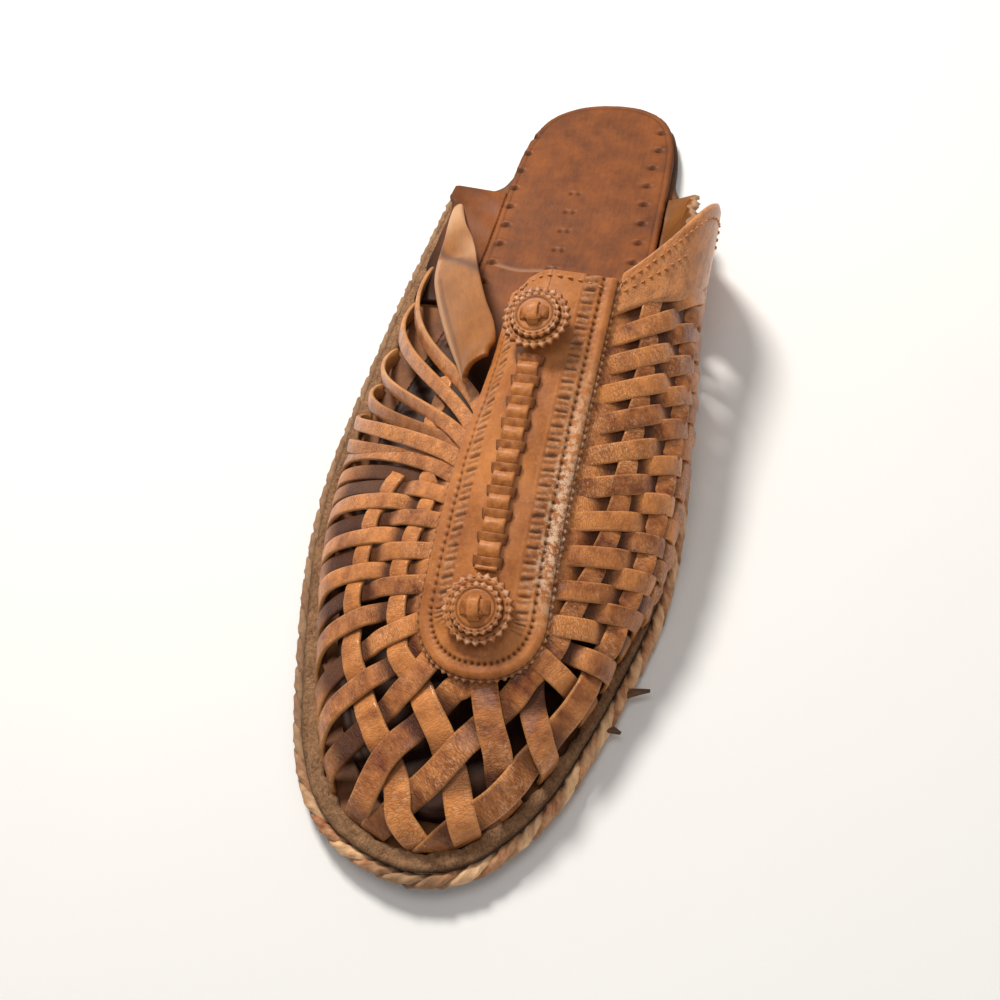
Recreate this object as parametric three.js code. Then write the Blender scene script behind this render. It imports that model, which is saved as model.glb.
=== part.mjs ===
// Woven leather mule: a flat leather sole with a braided edge, a rough welt, a footbed with two
// side ears, and a vamp of woven leather strips around a long medallion panel.
// Millimetres. +Z is up, the toe points to -Y, the heel to +Y, and +X is the wearer's left as the
// shoe is seen from its toe. The origin is under the middle of the shoe, on the floor.
import * as THREE from 'three';

// ---------------------------------------------------------------- driving dimensions
const LENGTH = 274;               // heel back to the outer edge of the toe's braid
const MIDDLE_ACROSS = -2.75;      // middle of the shoe's width, from the heel's own middle
const OUTSOLE_THICK = 5.0;
const INSOLE_THICK = 3.5;
const WELT_THICK = 1.8;
const EAR_THICK = 2.0;
const WALL = 2.2;                 // woven wall of the vamp
const PANEL_THICK = 1.5;
const GAP = 0.3;                  // clearance between touching pieces
const BRAID_RADIUS = 1.9;         // edge braid, half its width
const BRAID_HALF_HEIGHT = 2.5;
const BRAID_CENTRE = 2.9;
const FOOT_INSET_SIDE = 7.2;      // braid's outer edge to the foot of the vamp
const FOOT_INSET_TOE = 8.2;
const WELT_CLEARANCE = { [-1]: 0.5, 1: 1.6 };  // more where the wall leans out over the welt
const ARCH_RISE = 1.2;
const TOE_SPRING = 3.5;
const TREAD_TOP = OUTSOLE_THICK + GAP;      // underside of all that lies on the outsole
const EDGE_INSET = 2 * BRAID_RADIUS + GAP;  // outsole's own edge inside the braid

// Sole outline at its outer edge: distance from the heel back, then the reach of each side
const OUTLINE = [
  { from_heel: 0.0, left: 0, right: 0 },
  { from_heel: 2.0, left: 13.2, right: 13.0 },
  { from_heel: 8.5, left: 22.2, right: 21.4 },
  { from_heel: 21.0, left: 27.0, right: 25.8 },
  { from_heel: 35.0, left: 28.8, right: 27.0 },
  { from_heel: 42.0, left: 31.6, right: 29.0 },
  { from_heel: 45.2, left: 37.5, right: 32.4 },
  { from_heel: 47.6, left: 48.4, right: 37.4 },
  { from_heel: 60.0, left: 50.6, right: 39.6 },
  { from_heel: 85.0, left: 52.2, right: 42.0 },
  { from_heel: 115.0, left: 53.6, right: 44.8 },
  { from_heel: 145.0, left: 55.0, right: 47.8 },
  { from_heel: 172.0, left: 54.6, right: 49.6 },
  { from_heel: 197.0, left: 51.2, right: 48.4 },
  { from_heel: 218.0, left: 45.8, right: 43.4 },
  { from_heel: 236.0, left: 40.2, right: 37.8 },
  { from_heel: 250.0, left: 34.6, right: 32.4 },
  { from_heel: 261.0, left: 27.4, right: 25.4 },
  { from_heel: 269.6, left: 16.2, right: 16.4 },
  { from_heel: LENGTH, left: -3.0, right: 3.0 },
];
const SHOULDER_ROW = 7;           // where the braid and the welt begin

// Footbed outline: narrow past the heel, where the ears lie beside it, and full at the ball
const FOOTBED = [
  { from_heel: 1.0, left: 0, right: 0 },
  { from_heel: 3.2, left: 12.4, right: 12.2 },
  { from_heel: 9.6, left: 21.0, right: 20.2 },
  { from_heel: 22.0, left: 25.8, right: 24.6 },
  { from_heel: 38.0, left: 27.4, right: 25.8 },
  { from_heel: 56.0, left: 28.0, right: 26.2 },
  { from_heel: 80.0, left: 28.4, right: 26.6 },
  { from_heel: 100.0, left: 30.0, right: 28.6 },
  { from_heel: 125.0, left: 35.4, right: 34.4 },
  { from_heel: 150.0, left: 40.6, right: 38.8 },
  { from_heel: 172.0, left: 41.4, right: 39.6 },
  { from_heel: 197.0, left: 38.2, right: 37.4 },
  { from_heel: 218.0, left: 32.8, right: 32.0 },
  { from_heel: 236.0, left: 26.2, right: 25.8 },
  { from_heel: 248.0, left: 19.0, right: 20.8 },
  { from_heel: 256.0, left: 9.0, right: 13.4 },
  { from_heel: 259.5, left: -4.6, right: 4.6 },
];

// Medallion panel: its centre line and height, and how far and how steeply each half falls away
const PANEL = [
  { from_heel: 131, across: 10.8, height: 55.2, left_reach: 12.4, left_drop: 12.0, right_reach: 16.6, right_drop: 5.2 },
  { from_heel: 154, across: 10.2, height: 51.4, left_reach: 12.8, left_drop: 11.0, right_reach: 16.4, right_drop: 5.4 },
  { from_heel: 178, across: 9.6, height: 45.0, left_reach: 14.8, left_drop: 7.2, right_reach: 16.0, right_drop: 5.0 },
  { from_heel: 200, across: 9.4, height: 38.4, left_reach: 15.8, left_drop: 4.8, right_reach: 15.8, right_drop: 4.6 },
  { from_heel: 216, across: 9.4, height: 33.0, left_reach: 16.0, left_drop: 4.0, right_reach: 16.0, right_drop: 4.4 },
  { from_heel: 232, across: 9.4, height: 26.4, left_reach: 16.0, left_drop: 3.6, right_reach: 16.0, right_drop: 4.0 },
];
const PANEL_TOP = 131;
const PANEL_ARC_CENTRE = 216;     // the toe end of the panel is a half round
const PANEL_TIP = 232;
const PANEL_STRAIGHT = 0.77;      // share of the panel's edge that is straight
const PANEL_CREST = 1.5;          // how round the panel's crest is
const PANEL_COLUMNS = 6;

// Rungs of the weave, each a smooth curve from the sole to the panel. edge is its place on the
// panel (0 top, 1 tip), foot its place on the sole's edge (0 shoulder, 1 toe), rise and belly how
// far up and out it sets off from the sole, spread and sink how far out and down from the panel.
const LEFT_RUNGS = [
  { edge: 0.12, foot: 0.045, rise: 0.26, belly: 2.0, spread: 10.0, sink: 8.0 },
  { edge: 0.30, foot: 0.20, rise: 0.32, belly: 2.5, spread: 11.0, sink: 8.0 },
  { edge: 0.47, foot: 0.40, rise: 0.46, belly: 4.0, spread: 12.5, sink: 7.0 },
  { edge: 0.64, foot: 0.55, rise: 0.52, belly: 4.5, spread: 13.0, sink: 6.0 },
  { edge: 0.80, foot: 0.69, rise: 0.54, belly: 4.0, spread: 13.0, sink: 5.0 },
  { edge: 1.00, foot: 1.00, rise: 0.56, belly: 3.0, spread: 14.0, sink: 7.0 },
];
const RIGHT_RUNGS = [
  { edge: 0.00, foot: 0.055, rise: 0.55, belly: 16.0, spread: 26.0, sink: 4.0 },
  { edge: 0.18, foot: 0.25, rise: 0.58, belly: 12.5, spread: 22.0, sink: 4.0 },
  { edge: 0.38, foot: 0.38, rise: 0.60, belly: 13.0, spread: 22.0, sink: 4.0 },
  { edge: 0.62, foot: 0.56, rise: 0.58, belly: 10.0, spread: 18.0, sink: 4.5 },
  { edge: 0.80, foot: 0.69, rise: 0.56, belly: 5.0, spread: 13.0, sink: 5.0 },
  { edge: 1.00, foot: 1.00, rise: 0.56, belly: 3.0, spread: 14.0, sink: 7.0 },
];
const SET_OFF = 0.15;             // share of a rung's run that its first stretch takes
const SET_DOWN = 0.40;            // and its last

// Side weave: cross strips with slits between them, over two long strips on each side
const SIDE_STRIPS = 12;
const STRIP_SHARE = 0.62;         // of a strip's pitch, the rest is the slit
const SIDE_LINES = [0, 0.07, 0.25, 0.36, 0.54, 0.65, 0.83, 0.93, 1];
const SLIT_BANDS = [1, 3, 5];     // between those lines, where a slit is open
const SLACK_BANDS = [1, 2, 3, 4, 5, 6];
const SLACK_STRIPS = 4;           // at the left rear, with no long strips through them
const LEFT_FIRST_STRIP = 4;       // the left weave starts further down the panel
const RIGHT_FIRST_STRIP = 2;
const TOE_COLUMNS = 8;            // diagonal lattice on each side of the toe
const TOE_HOLE = 0.42;           // reach of a lattice opening, as a share of its cell

// Ears: side flaps from beside the footbed out to the wall
const LEFT_EAR = [
  { from_heel: 47.2, inner: 28.6, outer: 46.6, rise: 2.4 },
  { from_heel: 51.0, inner: 28.4, outer: 46.8, rise: 2.9 },
  { from_heel: 54.5, inner: 28.5, outer: 46.2, rise: 3.1 },
  { from_heel: 58.0, inner: 28.6, outer: 38.6, rise: 1.4 },
  { from_heel: 66.0, inner: 28.8, outer: 37.0, rise: 0.8 },
  { from_heel: 82.0, inner: 29.2, outer: 37.0, rise: 0.2 },
  { from_heel: 100.0, inner: 30.8, outer: 37.0, rise: 0.0 },
];
const RIGHT_EAR = [
  { from_heel: 47.0, inner: 26.6, outer: 35.6, rise: 3.0 },
  { from_heel: 54.0, inner: 26.6, outer: 36.4, rise: 8.0 },
  { from_heel: 62.0, inner: 26.8, outer: 37.0, rise: 13.0 },
  { from_heel: 72.0, inner: 27.0, outer: 37.8, rise: 17.0 },
  { from_heel: 84.0, inner: 27.8, outer: 38.4, rise: 18.0 },
  { from_heel: 100.0, inner: 29.4, outer: 38.2, rise: 14.0 },
  { from_heel: 112.0, inner: 32.0, outer: 37.6, rise: 9.0 },
];

// Rosettes: pinked discs and a folded knot, at two places on the panel
const ROSETTES = [
  { name: 'rosette_top', from_heel: 147.0, across: 0.0, stand: 2.4 },
  { name: 'rosette_toe', from_heel: 216.5, across: 0.0, stand: 0.6 },
];
const ROSETTE_TEETH = 18;
const ROSETTE_TIERS = [
  { name: 'base', radius: 8.6, thick: 1.3 },
  { name: 'disc', radius: 6.4, thick: 1.4 },
];
const KNOT = { width: 5.6, length: 6.2, height: 3.2 };

// Ladder: one thong that surfaces as a row of squares between the rosettes
const LADDER = { from: 157.5, to: 206.5, half: 0.22, squares: 9, low: 0.7, high: 1.5 };

const COLOURS = {
  sole: '#6b3f22', braid: '#a8693a', welt: '#5a4032', footbed: '#8f5630', strips: '#b06a3c',
  panel: '#a9643a', thong: '#b9754a', flesh: '#c99a72',
};

// ---------------------------------------------------------------- small helpers
const mix = (a, b, t) => a + (b - a) * t;
const clamp = (v, low, high) => Math.min(high, Math.max(low, v));
const smooth = (v, low, high) => {
  const t = clamp((v - low) / (high - low), 0, 1);
  return t * t * (3 - 2 * t);
};
const steps = (low, high, count) => Array.from({ length: count + 1 }, (_, i) => mix(low, high, i / count));

// Value of one column of a table at a key, along a smooth curve through its rows
function column(table, key, name, where) {
  const last = table.length - 1;
  let i = 0;
  while (i < last - 1 && where > table[i + 1][key]) {
    i += 1;
  }
  const slope = (k) => {
    const a = table[Math.max(k - 1, 0)];
    const b = table[Math.min(k + 1, last)];
    return (b[name] - a[name]) / (b[key] - a[key]);
  };
  const low = table[i];
  const high = table[i + 1];
  const span = high[key] - low[key];
  const t = clamp((where - low[key]) / span, 0, 1);
  const t2 = t * t;
  const t3 = t2 * t;
  return (2 * t3 - 3 * t2 + 1) * low[name] + (t3 - 2 * t2 + t) * span * slope(i)
    + (3 * t2 - 2 * t3) * high[name] + (t3 - t2) * span * slope(i + 1);
}

// Height that the sole's shape adds: flat under heel and ball, a low arch, and a toe spring
function lift(fromHeel) {
  const arch = smooth(fromHeel, 62, 105) * (1 - smooth(fromHeel, 105, 150));
  const toe = clamp((fromHeel - 205) / (LENGTH - 205), 0, 1);
  return ARCH_RISE * arch + TOE_SPRING * toe * toe;
}

// A point given by its distance from the heel, its reach across and its height over the sole line
const at = (fromHeel, across, height) => new THREE.Vector3(
  across - MIDDLE_ACROSS,
  LENGTH / 2 - fromHeel,
  height + lift(fromHeel),
);

// ---------------------------------------------------------------- outlines
// A closed smooth outline through a table of left and right reaches
class Outline {
  constructor(table) {
    this.rows = table.length;
    const points = table.map((row) => new THREE.Vector3(row.right, row.from_heel, 0));
    for (let i = this.rows - 2; i > 0; i -= 1) {
      points.push(new THREE.Vector3(-table[i].left, table[i].from_heel, 0));
    }
    this.count = points.length;
    this.curve = new THREE.CatmullRomCurve3(points, true, 'centripetal');
  }

  // Outline point at a table row (whole or part), moved inward; side is -1 left, +1 right
  edge(row, side, inset = 0) {
    const share = row / this.count;
    const t = side > 0 ? share : (1 - share) % 1;
    const p = this.curve.getPoint(t);
    const d = this.curve.getTangent(t);
    return { from_heel: p.y + d.x * inset, across: p.x - d.y * inset, out: [d.y, -d.x] };
  }

  // Matched rows from the heel to the toe, each a left and a right point
  ladder(perRow, inset) {
    const last = this.rows - 1;
    const places = [0.3, ...steps(0.6, last - 1.5, Math.round((last - 2) * perRow)), last - 1.1, last - 0.6, last - 0.3];
    return places.map((row) => [this.edge(row, -1, inset(row)), this.edge(row, 1, inset(row))]);
  }
}

const soleOutline = new Outline(OUTLINE);
const footbedOutline = new Outline(FOOTBED);

// Rows of the sole outline at even steps of its length, from each shoulder to the toe
const RIM_SAMPLES = 400;
const rimRows = new Map([-1, 1].map((side) => {
  const places = steps(SHOULDER_ROW, OUTLINE.length - 1, RIM_SAMPLES);
  const lengths = [0];
  for (let k = 1; k < places.length; k += 1) {
    const a = soleOutline.edge(places[k - 1], side);
    const b = soleOutline.edge(places[k], side);
    lengths.push(lengths[k - 1] + Math.hypot(a.across - b.across, a.from_heel - b.from_heel));
  }
  return [side, { places, lengths }];
}));

// Point of the sole's edge at a share of the way from a shoulder to the toe
function rim(side, share, inset) {
  const { places, lengths } = rimRows.get(side);
  const want = clamp(share, 0, 1) * lengths[RIM_SAMPLES];
  let k = 1;
  while (k < RIM_SAMPLES && lengths[k] < want) {
    k += 1;
  }
  const t = (want - lengths[k - 1]) / (lengths[k] - lengths[k - 1]);
  return soleOutline.edge(mix(places[k - 1], places[k], t), side, inset);
}

// ---------------------------------------------------------------- solids from sheets
// A sheet is triangles over named points, each with a low and a high place: the two skins
class Sheet {
  constructor() {
    this.keys = new Map();
    this.low = [];
    this.high = [];
    this.faces = [];
  }

  point(key, make) {
    if (!this.keys.has(key)) {
      const [low, high] = make();
      this.keys.set(key, this.low.length);
      this.low.push(low);
      this.high.push(high);
    }
    return this.keys.get(key);
  }

  triangle(a, b, c) {
    if (a !== b && b !== c && c !== a) {
      this.faces.push([a, b, c]);
    }
  }

  quad(a, b, c, d, turned = false) {
    const [p, q, r, s] = turned ? [d, c, b, a] : [a, b, c, d];
    this.triangle(p, q, r);
    this.triangle(p, r, s);
  }

  // Four-sided frame around a hole that has one corner facing each side
  frame(corners, hole, turned = false) {
    const outer = turned ? [...corners].reverse() : corners;
    const inner = turned ? [hole[2], hole[1], hole[0], hole[3]] : hole;
    for (let k = 0; k < 4; k += 1) {
      const next = (k + 1) % 4;
      this.triangle(outer[k], outer[next], inner[k]);
      this.triangle(outer[next], inner[next], inner[k]);
    }
  }

  geometry() {
    const count = this.low.length;
    const index = [];
    const open = new Map();
    this.faces.forEach(([a, b, c]) => {
      index.push(a + count, b + count, c + count, a, c, b);
      [[a, b], [b, c], [c, a]].forEach(([p, q]) => {
        if (open.has(`${q}_${p}`)) {
          open.delete(`${q}_${p}`);
        } else {
          open.set(`${p}_${q}`, [p, q]);
        }
      });
    });
    open.forEach(([p, q]) => index.push(p, q, q + count, p, q + count, p + count));
    const points = [...this.low, ...this.high];
    return solidGeometry(points, index);
  }
}

// Geometry of a closed solid, with its faces turned outward
function solidGeometry(points, index) {
  let volume = 0;
  for (let k = 0; k < index.length; k += 3) {
    const [a, b, c] = [points[index[k]], points[index[k + 1]], points[index[k + 2]]];
    volume += a.dot(new THREE.Vector3().crossVectors(b, c));
  }
  const faces = volume < 0 ? index.map((_, k) => index[k - (k % 3) + 2 - (k % 3)]) : index;
  const geometry = new THREE.BufferGeometry();
  geometry.setAttribute('position', new THREE.Float32BufferAttribute(points.flatMap((v) => [v.x, v.y, v.z]), 3));
  geometry.setIndex(faces);
  return geometry;
}

// Flat-topped solid over matched rows of left and right edge points
function slab(rowList, columns, low, high) {
  const sheet = new Sheet();
  const place = (j, i) => sheet.point(`${j}_${i}`, () => {
    const [left, right] = rowList[j];
    const share = i / columns;
    const fromHeel = mix(left.from_heel, right.from_heel, share);
    const across = mix(left.across, right.across, share);
    return [at(fromHeel, across, low), at(fromHeel, across, high)];
  });
  for (let j = 0; j < rowList.length - 1; j += 1) {
    for (let i = 0; i < columns; i += 1) {
      sheet.quad(place(j, i), place(j + 1, i), place(j + 1, i + 1), place(j, i + 1));
    }
  }
  return sheet.geometry();
}

// ---------------------------------------------------------------- sole pieces
function outsole() {
  const inset = (row) => EDGE_INSET * smooth(row, SHOULDER_ROW - 0.7, SHOULDER_ROW + 0.1);
  return slab(soleOutline.ladder(2, inset), 4, 0, OUTSOLE_THICK);
}

function insole() {
  return slab(footbedOutline.ladder(2, () => 0), 4, TREAD_TOP, TREAD_TOP + INSOLE_THICK);
}

const footInset = (share) => mix(FOOT_INSET_SIDE, FOOT_INSET_TOE, smooth(share, 0.55, 0.95));

// Places all round the forepart, from the left shoulder past the toe to the right shoulder
const rimPlaces = (count) => [
  ...steps(0.01, 1, count).map((share) => [-1, share]),
  ...steps(0.01, 1, count).reverse().slice(1).map((share) => [1, share]),
];

function welt() {
  const sheet = new Sheet();
  const places = rimPlaces(34);
  const place = (j, i) => sheet.point(`${j}_${i}`, () => {
    const [side, share] = places[j];
    const clear = GAP + WELT_CLEARANCE[side] * (1 - smooth(share, 0.6, 0.9));
    const inset = i === 0 ? EDGE_INSET : footInset(share) - clear;
    const p = rim(side, share, inset);
    return [at(p.from_heel, p.across, TREAD_TOP), at(p.from_heel, p.across, TREAD_TOP + WELT_THICK)];
  });
  for (let j = 0; j < places.length - 1; j += 1) {
    sheet.quad(place(j, 0), place(j, 1), place(j + 1, 1), place(j + 1, 0));
  }
  return sheet.geometry();
}

function braid() {
  const sides = 8;
  const places = rimPlaces(36);
  const points = [];
  const index = [];
  places.forEach(([side, share]) => {
    const middle = rim(side, share, BRAID_RADIUS);
    for (let k = 0; k < sides; k += 1) {
      const angle = (2 * Math.PI * (k + 0.5)) / sides;
      const out = BRAID_RADIUS * Math.cos(angle);
      const up = BRAID_HALF_HEIGHT * Math.sin(angle);
      const across = middle.across + middle.out[0] * out;
      const fromHeel = middle.from_heel + middle.out[1] * out;
      points.push(at(fromHeel, across, BRAID_CENTRE + up));
    }
  });
  for (let j = 0; j < places.length - 1; j += 1) {
    for (let k = 0; k < sides; k += 1) {
      const next = (k + 1) % sides;
      const [a, b, c, d] = [j * sides + k, j * sides + next, (j + 1) * sides + next, (j + 1) * sides + k];
      index.push(a, b, c, a, c, d);
    }
  }
  const end = (places.length - 1) * sides;
  for (let k = 1; k < sides - 1; k += 1) {
    index.push(0, k + 1, k, end, end + k, end + k + 1);
  }
  return solidGeometry(points, index);
}

function ear(table, side) {
  const sheet = new Sheet();
  const columns = 4;
  const places = steps(table[0].from_heel, table[table.length - 1].from_heel, 16);
  const place = (j, i) => sheet.point(`${j}_${i}`, () => {
    const share = i / columns;
    const inner = column(table, 'from_heel', 'inner', places[j]);
    const outer = column(table, 'from_heel', 'outer', places[j]);
    const rise = column(table, 'from_heel', 'rise', places[j]) * share ** 1.6;
    const across = side * mix(inner, outer, share);
    const lean = EAR_THICK * 0.5 * smooth(rise, 2, 12) * share;
    return [
      at(places[j], across + side * lean, TREAD_TOP + rise),
      at(places[j], across - side * lean, TREAD_TOP + EAR_THICK + rise),
    ];
  });
  for (let j = 0; j < places.length - 1; j += 1) {
    for (let i = 0; i < columns; i += 1) {
      sheet.quad(place(j, i), place(j, i + 1), place(j + 1, i + 1), place(j + 1, i));
    }
  }
  return sheet.geometry();
}

// ---------------------------------------------------------------- vamp surface
// Where a row of the panel lies and how much of its full width is left there
function panelRow(edge) {
  if (edge <= PANEL_STRAIGHT) {
    return { from_heel: mix(PANEL_TOP, PANEL_ARC_CENTRE, edge / PANEL_STRAIGHT), width: 1 };
  }
  const turn = ((edge - PANEL_STRAIGHT) / (1 - PANEL_STRAIGHT)) * (Math.PI / 2);
  return { from_heel: mix(PANEL_ARC_CENTRE, PANEL_TIP, Math.sin(turn)), width: Math.cos(turn) };
}

// Point on the panel's surface; reach runs from -1 at the left edge to 1 at the right edge
function crest(fromHeel, reach) {
  const name = reach < 0 ? 'left' : 'right';
  const wide = column(PANEL, 'from_heel', `${name}_reach`, fromHeel);
  const drop = column(PANEL, 'from_heel', `${name}_drop`, fromHeel);
  const across = column(PANEL, 'from_heel', 'across', fromHeel) + reach * wide;
  const height = column(PANEL, 'from_heel', 'height', fromHeel) - drop * Math.abs(reach) ** PANEL_CREST;
  return at(fromHeel, across, height);
}

function panelPoint(edge, reach) {
  const row = panelRow(edge);
  return crest(row.from_heel, reach * row.width);
}

// Point on a rung of the weave; up runs from 0 at the sole to 1 at the panel's edge
function rungPoint(side, edge, up) {
  const table = side < 0 ? LEFT_RUNGS : RIGHT_RUNGS;
  const value = (name) => column(table, 'edge', name, edge);
  const share = clamp(value('foot'), 0, 1);
  const foot = rim(side, share, footInset(share));
  const start = at(foot.from_heel, foot.across, TREAD_TOP);
  const end = panelPoint(edge, side);
  const turn = Math.asin(clamp((panelRow(edge).from_heel - PANEL_ARC_CENTRE) / (PANEL_TIP - PANEL_ARC_CENTRE), 0, 1));
  const run = (end.y - start.y) * Math.cos(turn);
  const first = start.clone();
  first.x += foot.out[0] * value('belly');
  first.y += SET_OFF * run - foot.out[1] * value('belly');
  first.z += value('rise') * (end.z - start.z);
  const second = end.clone();
  second.x += side * Math.cos(turn) * value('spread');
  second.y -= SET_DOWN * run + Math.sin(turn) * value('spread');
  second.z -= value('sink');
  return new THREE.CubicBezierCurve3(start, first, second, end).getPoint(up);
}

const SMALL = 0.012;

function rungNormal(side, edge, up) {
  const low = clamp(edge - SMALL, side < 0 ? LEFT_RUNGS[0].edge : 0, 1);
  const high = clamp(edge + SMALL, 0, 1);
  const t = clamp(up, SMALL, 1 - SMALL);
  const along = rungPoint(side, high, t).sub(rungPoint(side, low, t));
  const rise = rungPoint(side, edge, t + SMALL).sub(rungPoint(side, edge, t - SMALL));
  return along.cross(rise).multiplyScalar(side).normalize().negate();
}

function panelNormal(fromHeel, reach) {
  const a = clamp(reach, -0.98, 0.98);
  const s = clamp(fromHeel, PANEL_TOP + 1, PANEL_TIP - 1);
  const along = crest(s + 1, a).sub(crest(s - 1, a));
  const across = crest(s, a + 0.02).sub(crest(s, a - 0.02));
  const normal = along.cross(across);
  return (normal.z < 0 ? normal.negate() : normal).normalize();
}

// Low and high places of a wall point between two offsets from the outer surface
function rungPair(side, edge, up, low, high) {
  const p = rungPoint(side, edge, up);
  const normal = rungNormal(side, edge, up);
  if (up === 1) {
    const row = panelRow(edge);
    normal.add(panelNormal(row.from_heel, side * row.width)).normalize();
  }
  if (up === 0) {
    normal.setZ(0).normalize();
  }
  return [p.clone().addScaledVector(normal, low), p.clone().addScaledVector(normal, high)];
}

function panelPair(edge, reach, low, high) {
  const row = panelRow(edge);
  const p = panelPoint(edge, reach);
  const normal = panelNormal(row.from_heel, reach * row.width);
  return [p.clone().addScaledVector(normal, low), p.clone().addScaledVector(normal, high)];
}

// ---------------------------------------------------------------- upper
// Rung lines along the panel's edge: strip, slit, strip, slit, and then the toe lattice
const stripPitch = PANEL_STRAIGHT / SIDE_STRIPS;
const rungLines = [];
for (let k = 0; k < SIDE_STRIPS; k += 1) {
  rungLines.push(k * stripPitch, (k + STRIP_SHARE) * stripPitch);
}
const TOE_START = rungLines.length;
rungLines.push(...steps(PANEL_STRAIGHT, 1, TOE_COLUMNS));
const TIP = rungLines.length - 1;
const BANDS = SIDE_LINES.length - 1;

function lineHeight(j, i) {
  return mix(SIDE_LINES[i], i / BANDS, smooth(j, TOE_START, TOE_START + 2));
}

function upper() {
  const sheet = new Sheet();
  const wall = (side, j, i) => {
    const edgeKey = i === BANDS ? `edge_${side}_${j}` : `${side}_${j}_${i}`;
    const key = j === TIP ? `tip_${i}` : edgeKey;
    return sheet.point(key, () => rungPair(side, rungLines[j], lineHeight(j, i), -WALL, 0));
  };
  const hole = (side, j, i, dj, di) => sheet.point(`${side}_${j + dj}_${i + di}_hole`, () => {
    const edge = mix(rungLines[j], rungLines[j + 1], dj);
    const up = mix(mix(lineHeight(j, i), lineHeight(j + 1, i), dj), mix(lineHeight(j, i + 1), lineHeight(j + 1, i + 1), dj), di);
    return rungPair(side, edge, up, -WALL, 0);
  });
  const near = 0.5 - TOE_HOLE;
  const far = 0.5 + TOE_HOLE;
  [-1, 1].forEach((side) => {
    const firstStrip = side < 0 ? LEFT_FIRST_STRIP : RIGHT_FIRST_STRIP;
    for (let j = 2 * firstStrip; j < TIP; j += 1) {
      const strip = Math.floor(j / 2);
      const slack = side < 0 && strip < LEFT_FIRST_STRIP + SLACK_STRIPS;
      const open = slack ? SLACK_BANDS : SLIT_BANDS;
      for (let i = 0; i < BANDS; i += 1) {
        const corners = [wall(side, j, i), wall(side, j + 1, i), wall(side, j + 1, i + 1), wall(side, j, i + 1)];
        if (j < TOE_START) {
          if (j % 2 === 0 || !open.includes(i)) {
            sheet.quad(...corners, side < 0);
          }
        } else if ((j + i) % 2 === 0 && i > 0 && i < BANDS - 1) {
          const gap = [hole(side, j, i, 0.5, near), hole(side, j, i, far, 0.5), hole(side, j, i, 0.5, far), hole(side, j, i, near, 0.5)];
          sheet.frame(corners, gap, side < 0);
        } else {
          sheet.quad(...corners, side < 0);
        }
      }
    }
  });
  const panelKey = (j, c) => {
    if (j === TIP) {
      return `tip_${BANDS}`;
    }
    if (c === 0 || c === PANEL_COLUMNS) {
      return `edge_${c === 0 ? -1 : 1}_${j}`;
    }
    return `panel_${j}_${c}`;
  };
  const base = (j, c) => sheet.point(panelKey(j, c), () => {
    const reach = (2 * c) / PANEL_COLUMNS - 1;
    return panelPair(rungLines[j], reach, -WALL, 0);
  });
  for (let j = 0; j < TIP; j += 1) {
    for (let c = 0; c < PANEL_COLUMNS; c += 1) {
      sheet.quad(base(j, c), base(j + 1, c), base(j + 1, c + 1), base(j, c + 1), true);
    }
  }
  return sheet.geometry();
}

// A strap that follows the weave's surface between two places on the panel's edge
function strap(side, edges, ups, low, high) {
  const sheet = new Sheet();
  const place = (j, i) => sheet.point(`${j}_${i}`, () => rungPair(side, edges[j], ups[i], low, high));
  for (let j = 0; j < edges.length - 1; j += 1) {
    for (let i = 0; i < ups.length - 1; i += 1) {
      sheet.quad(place(j, i), place(j + 1, i), place(j + 1, i + 1), place(j, i + 1));
    }
  }
  return sheet.geometry();
}

// ---------------------------------------------------------------- panel, ladder and rosettes
function panel() {
  const sheet = new Sheet();
  const edges = [...steps(0.004, PANEL_STRAIGHT, 20), ...steps(PANEL_STRAIGHT, 1, 8).slice(1)];
  const last = edges.length - 1;
  const place = (j, c) => sheet.point(j === last ? 'tip' : `${j}_${c}`, () => {
    const reach = (2 * c) / PANEL_COLUMNS - 1;
    return panelPair(edges[j], reach, GAP, GAP + PANEL_THICK);
  });
  for (let j = 0; j < last; j += 1) {
    for (let c = 0; c < PANEL_COLUMNS; c += 1) {
      sheet.quad(place(j, c), place(j + 1, c), place(j + 1, c + 1), place(j, c + 1));
    }
  }
  return sheet.geometry();
}

function ladder() {
  const sheet = new Sheet();
  const base = 2 * GAP + PANEL_THICK;
  const places = [];
  const pitch = (LADDER.to - LADDER.from) / LADDER.squares;
  for (let k = 0; k < LADDER.squares; k += 1) {
    const start = LADDER.from + k * pitch;
    places.push([start, LADDER.low], [start + pitch * 0.12, LADDER.high]);
    places.push([start + pitch * 0.58, LADDER.high], [start + pitch * 0.7, LADDER.low]);
  }
  const place = (j, c) => sheet.point(`${j}_${c}`, () => {
    const reach = (c - 1) * LADDER.half;
    const p = crest(places[j][0], reach);
    const normal = panelNormal(places[j][0], reach);
    return [p.clone().addScaledVector(normal, base), p.clone().addScaledVector(normal, base + places[j][1])];
  });
  for (let j = 0; j < places.length - 1; j += 1) {
    for (let c = 0; c < 2; c += 1) {
      sheet.quad(place(j, c), place(j + 1, c), place(j + 1, c + 1), place(j, c + 1));
    }
  }
  return sheet.geometry();
}

function pinkedDisc(radius, thick) {
  const shape = new THREE.Shape();
  for (let k = 0; k < 2 * ROSETTE_TEETH; k += 1) {
    const angle = (Math.PI * k) / ROSETTE_TEETH;
    const r = k % 2 === 0 ? radius : radius * 0.9;
    shape[k === 0 ? 'moveTo' : 'lineTo'](r * Math.cos(angle), r * Math.sin(angle));
  }
  shape.closePath();
  return new THREE.ExtrudeGeometry(shape, { depth: thick, bevelEnabled: false });
}

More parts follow.
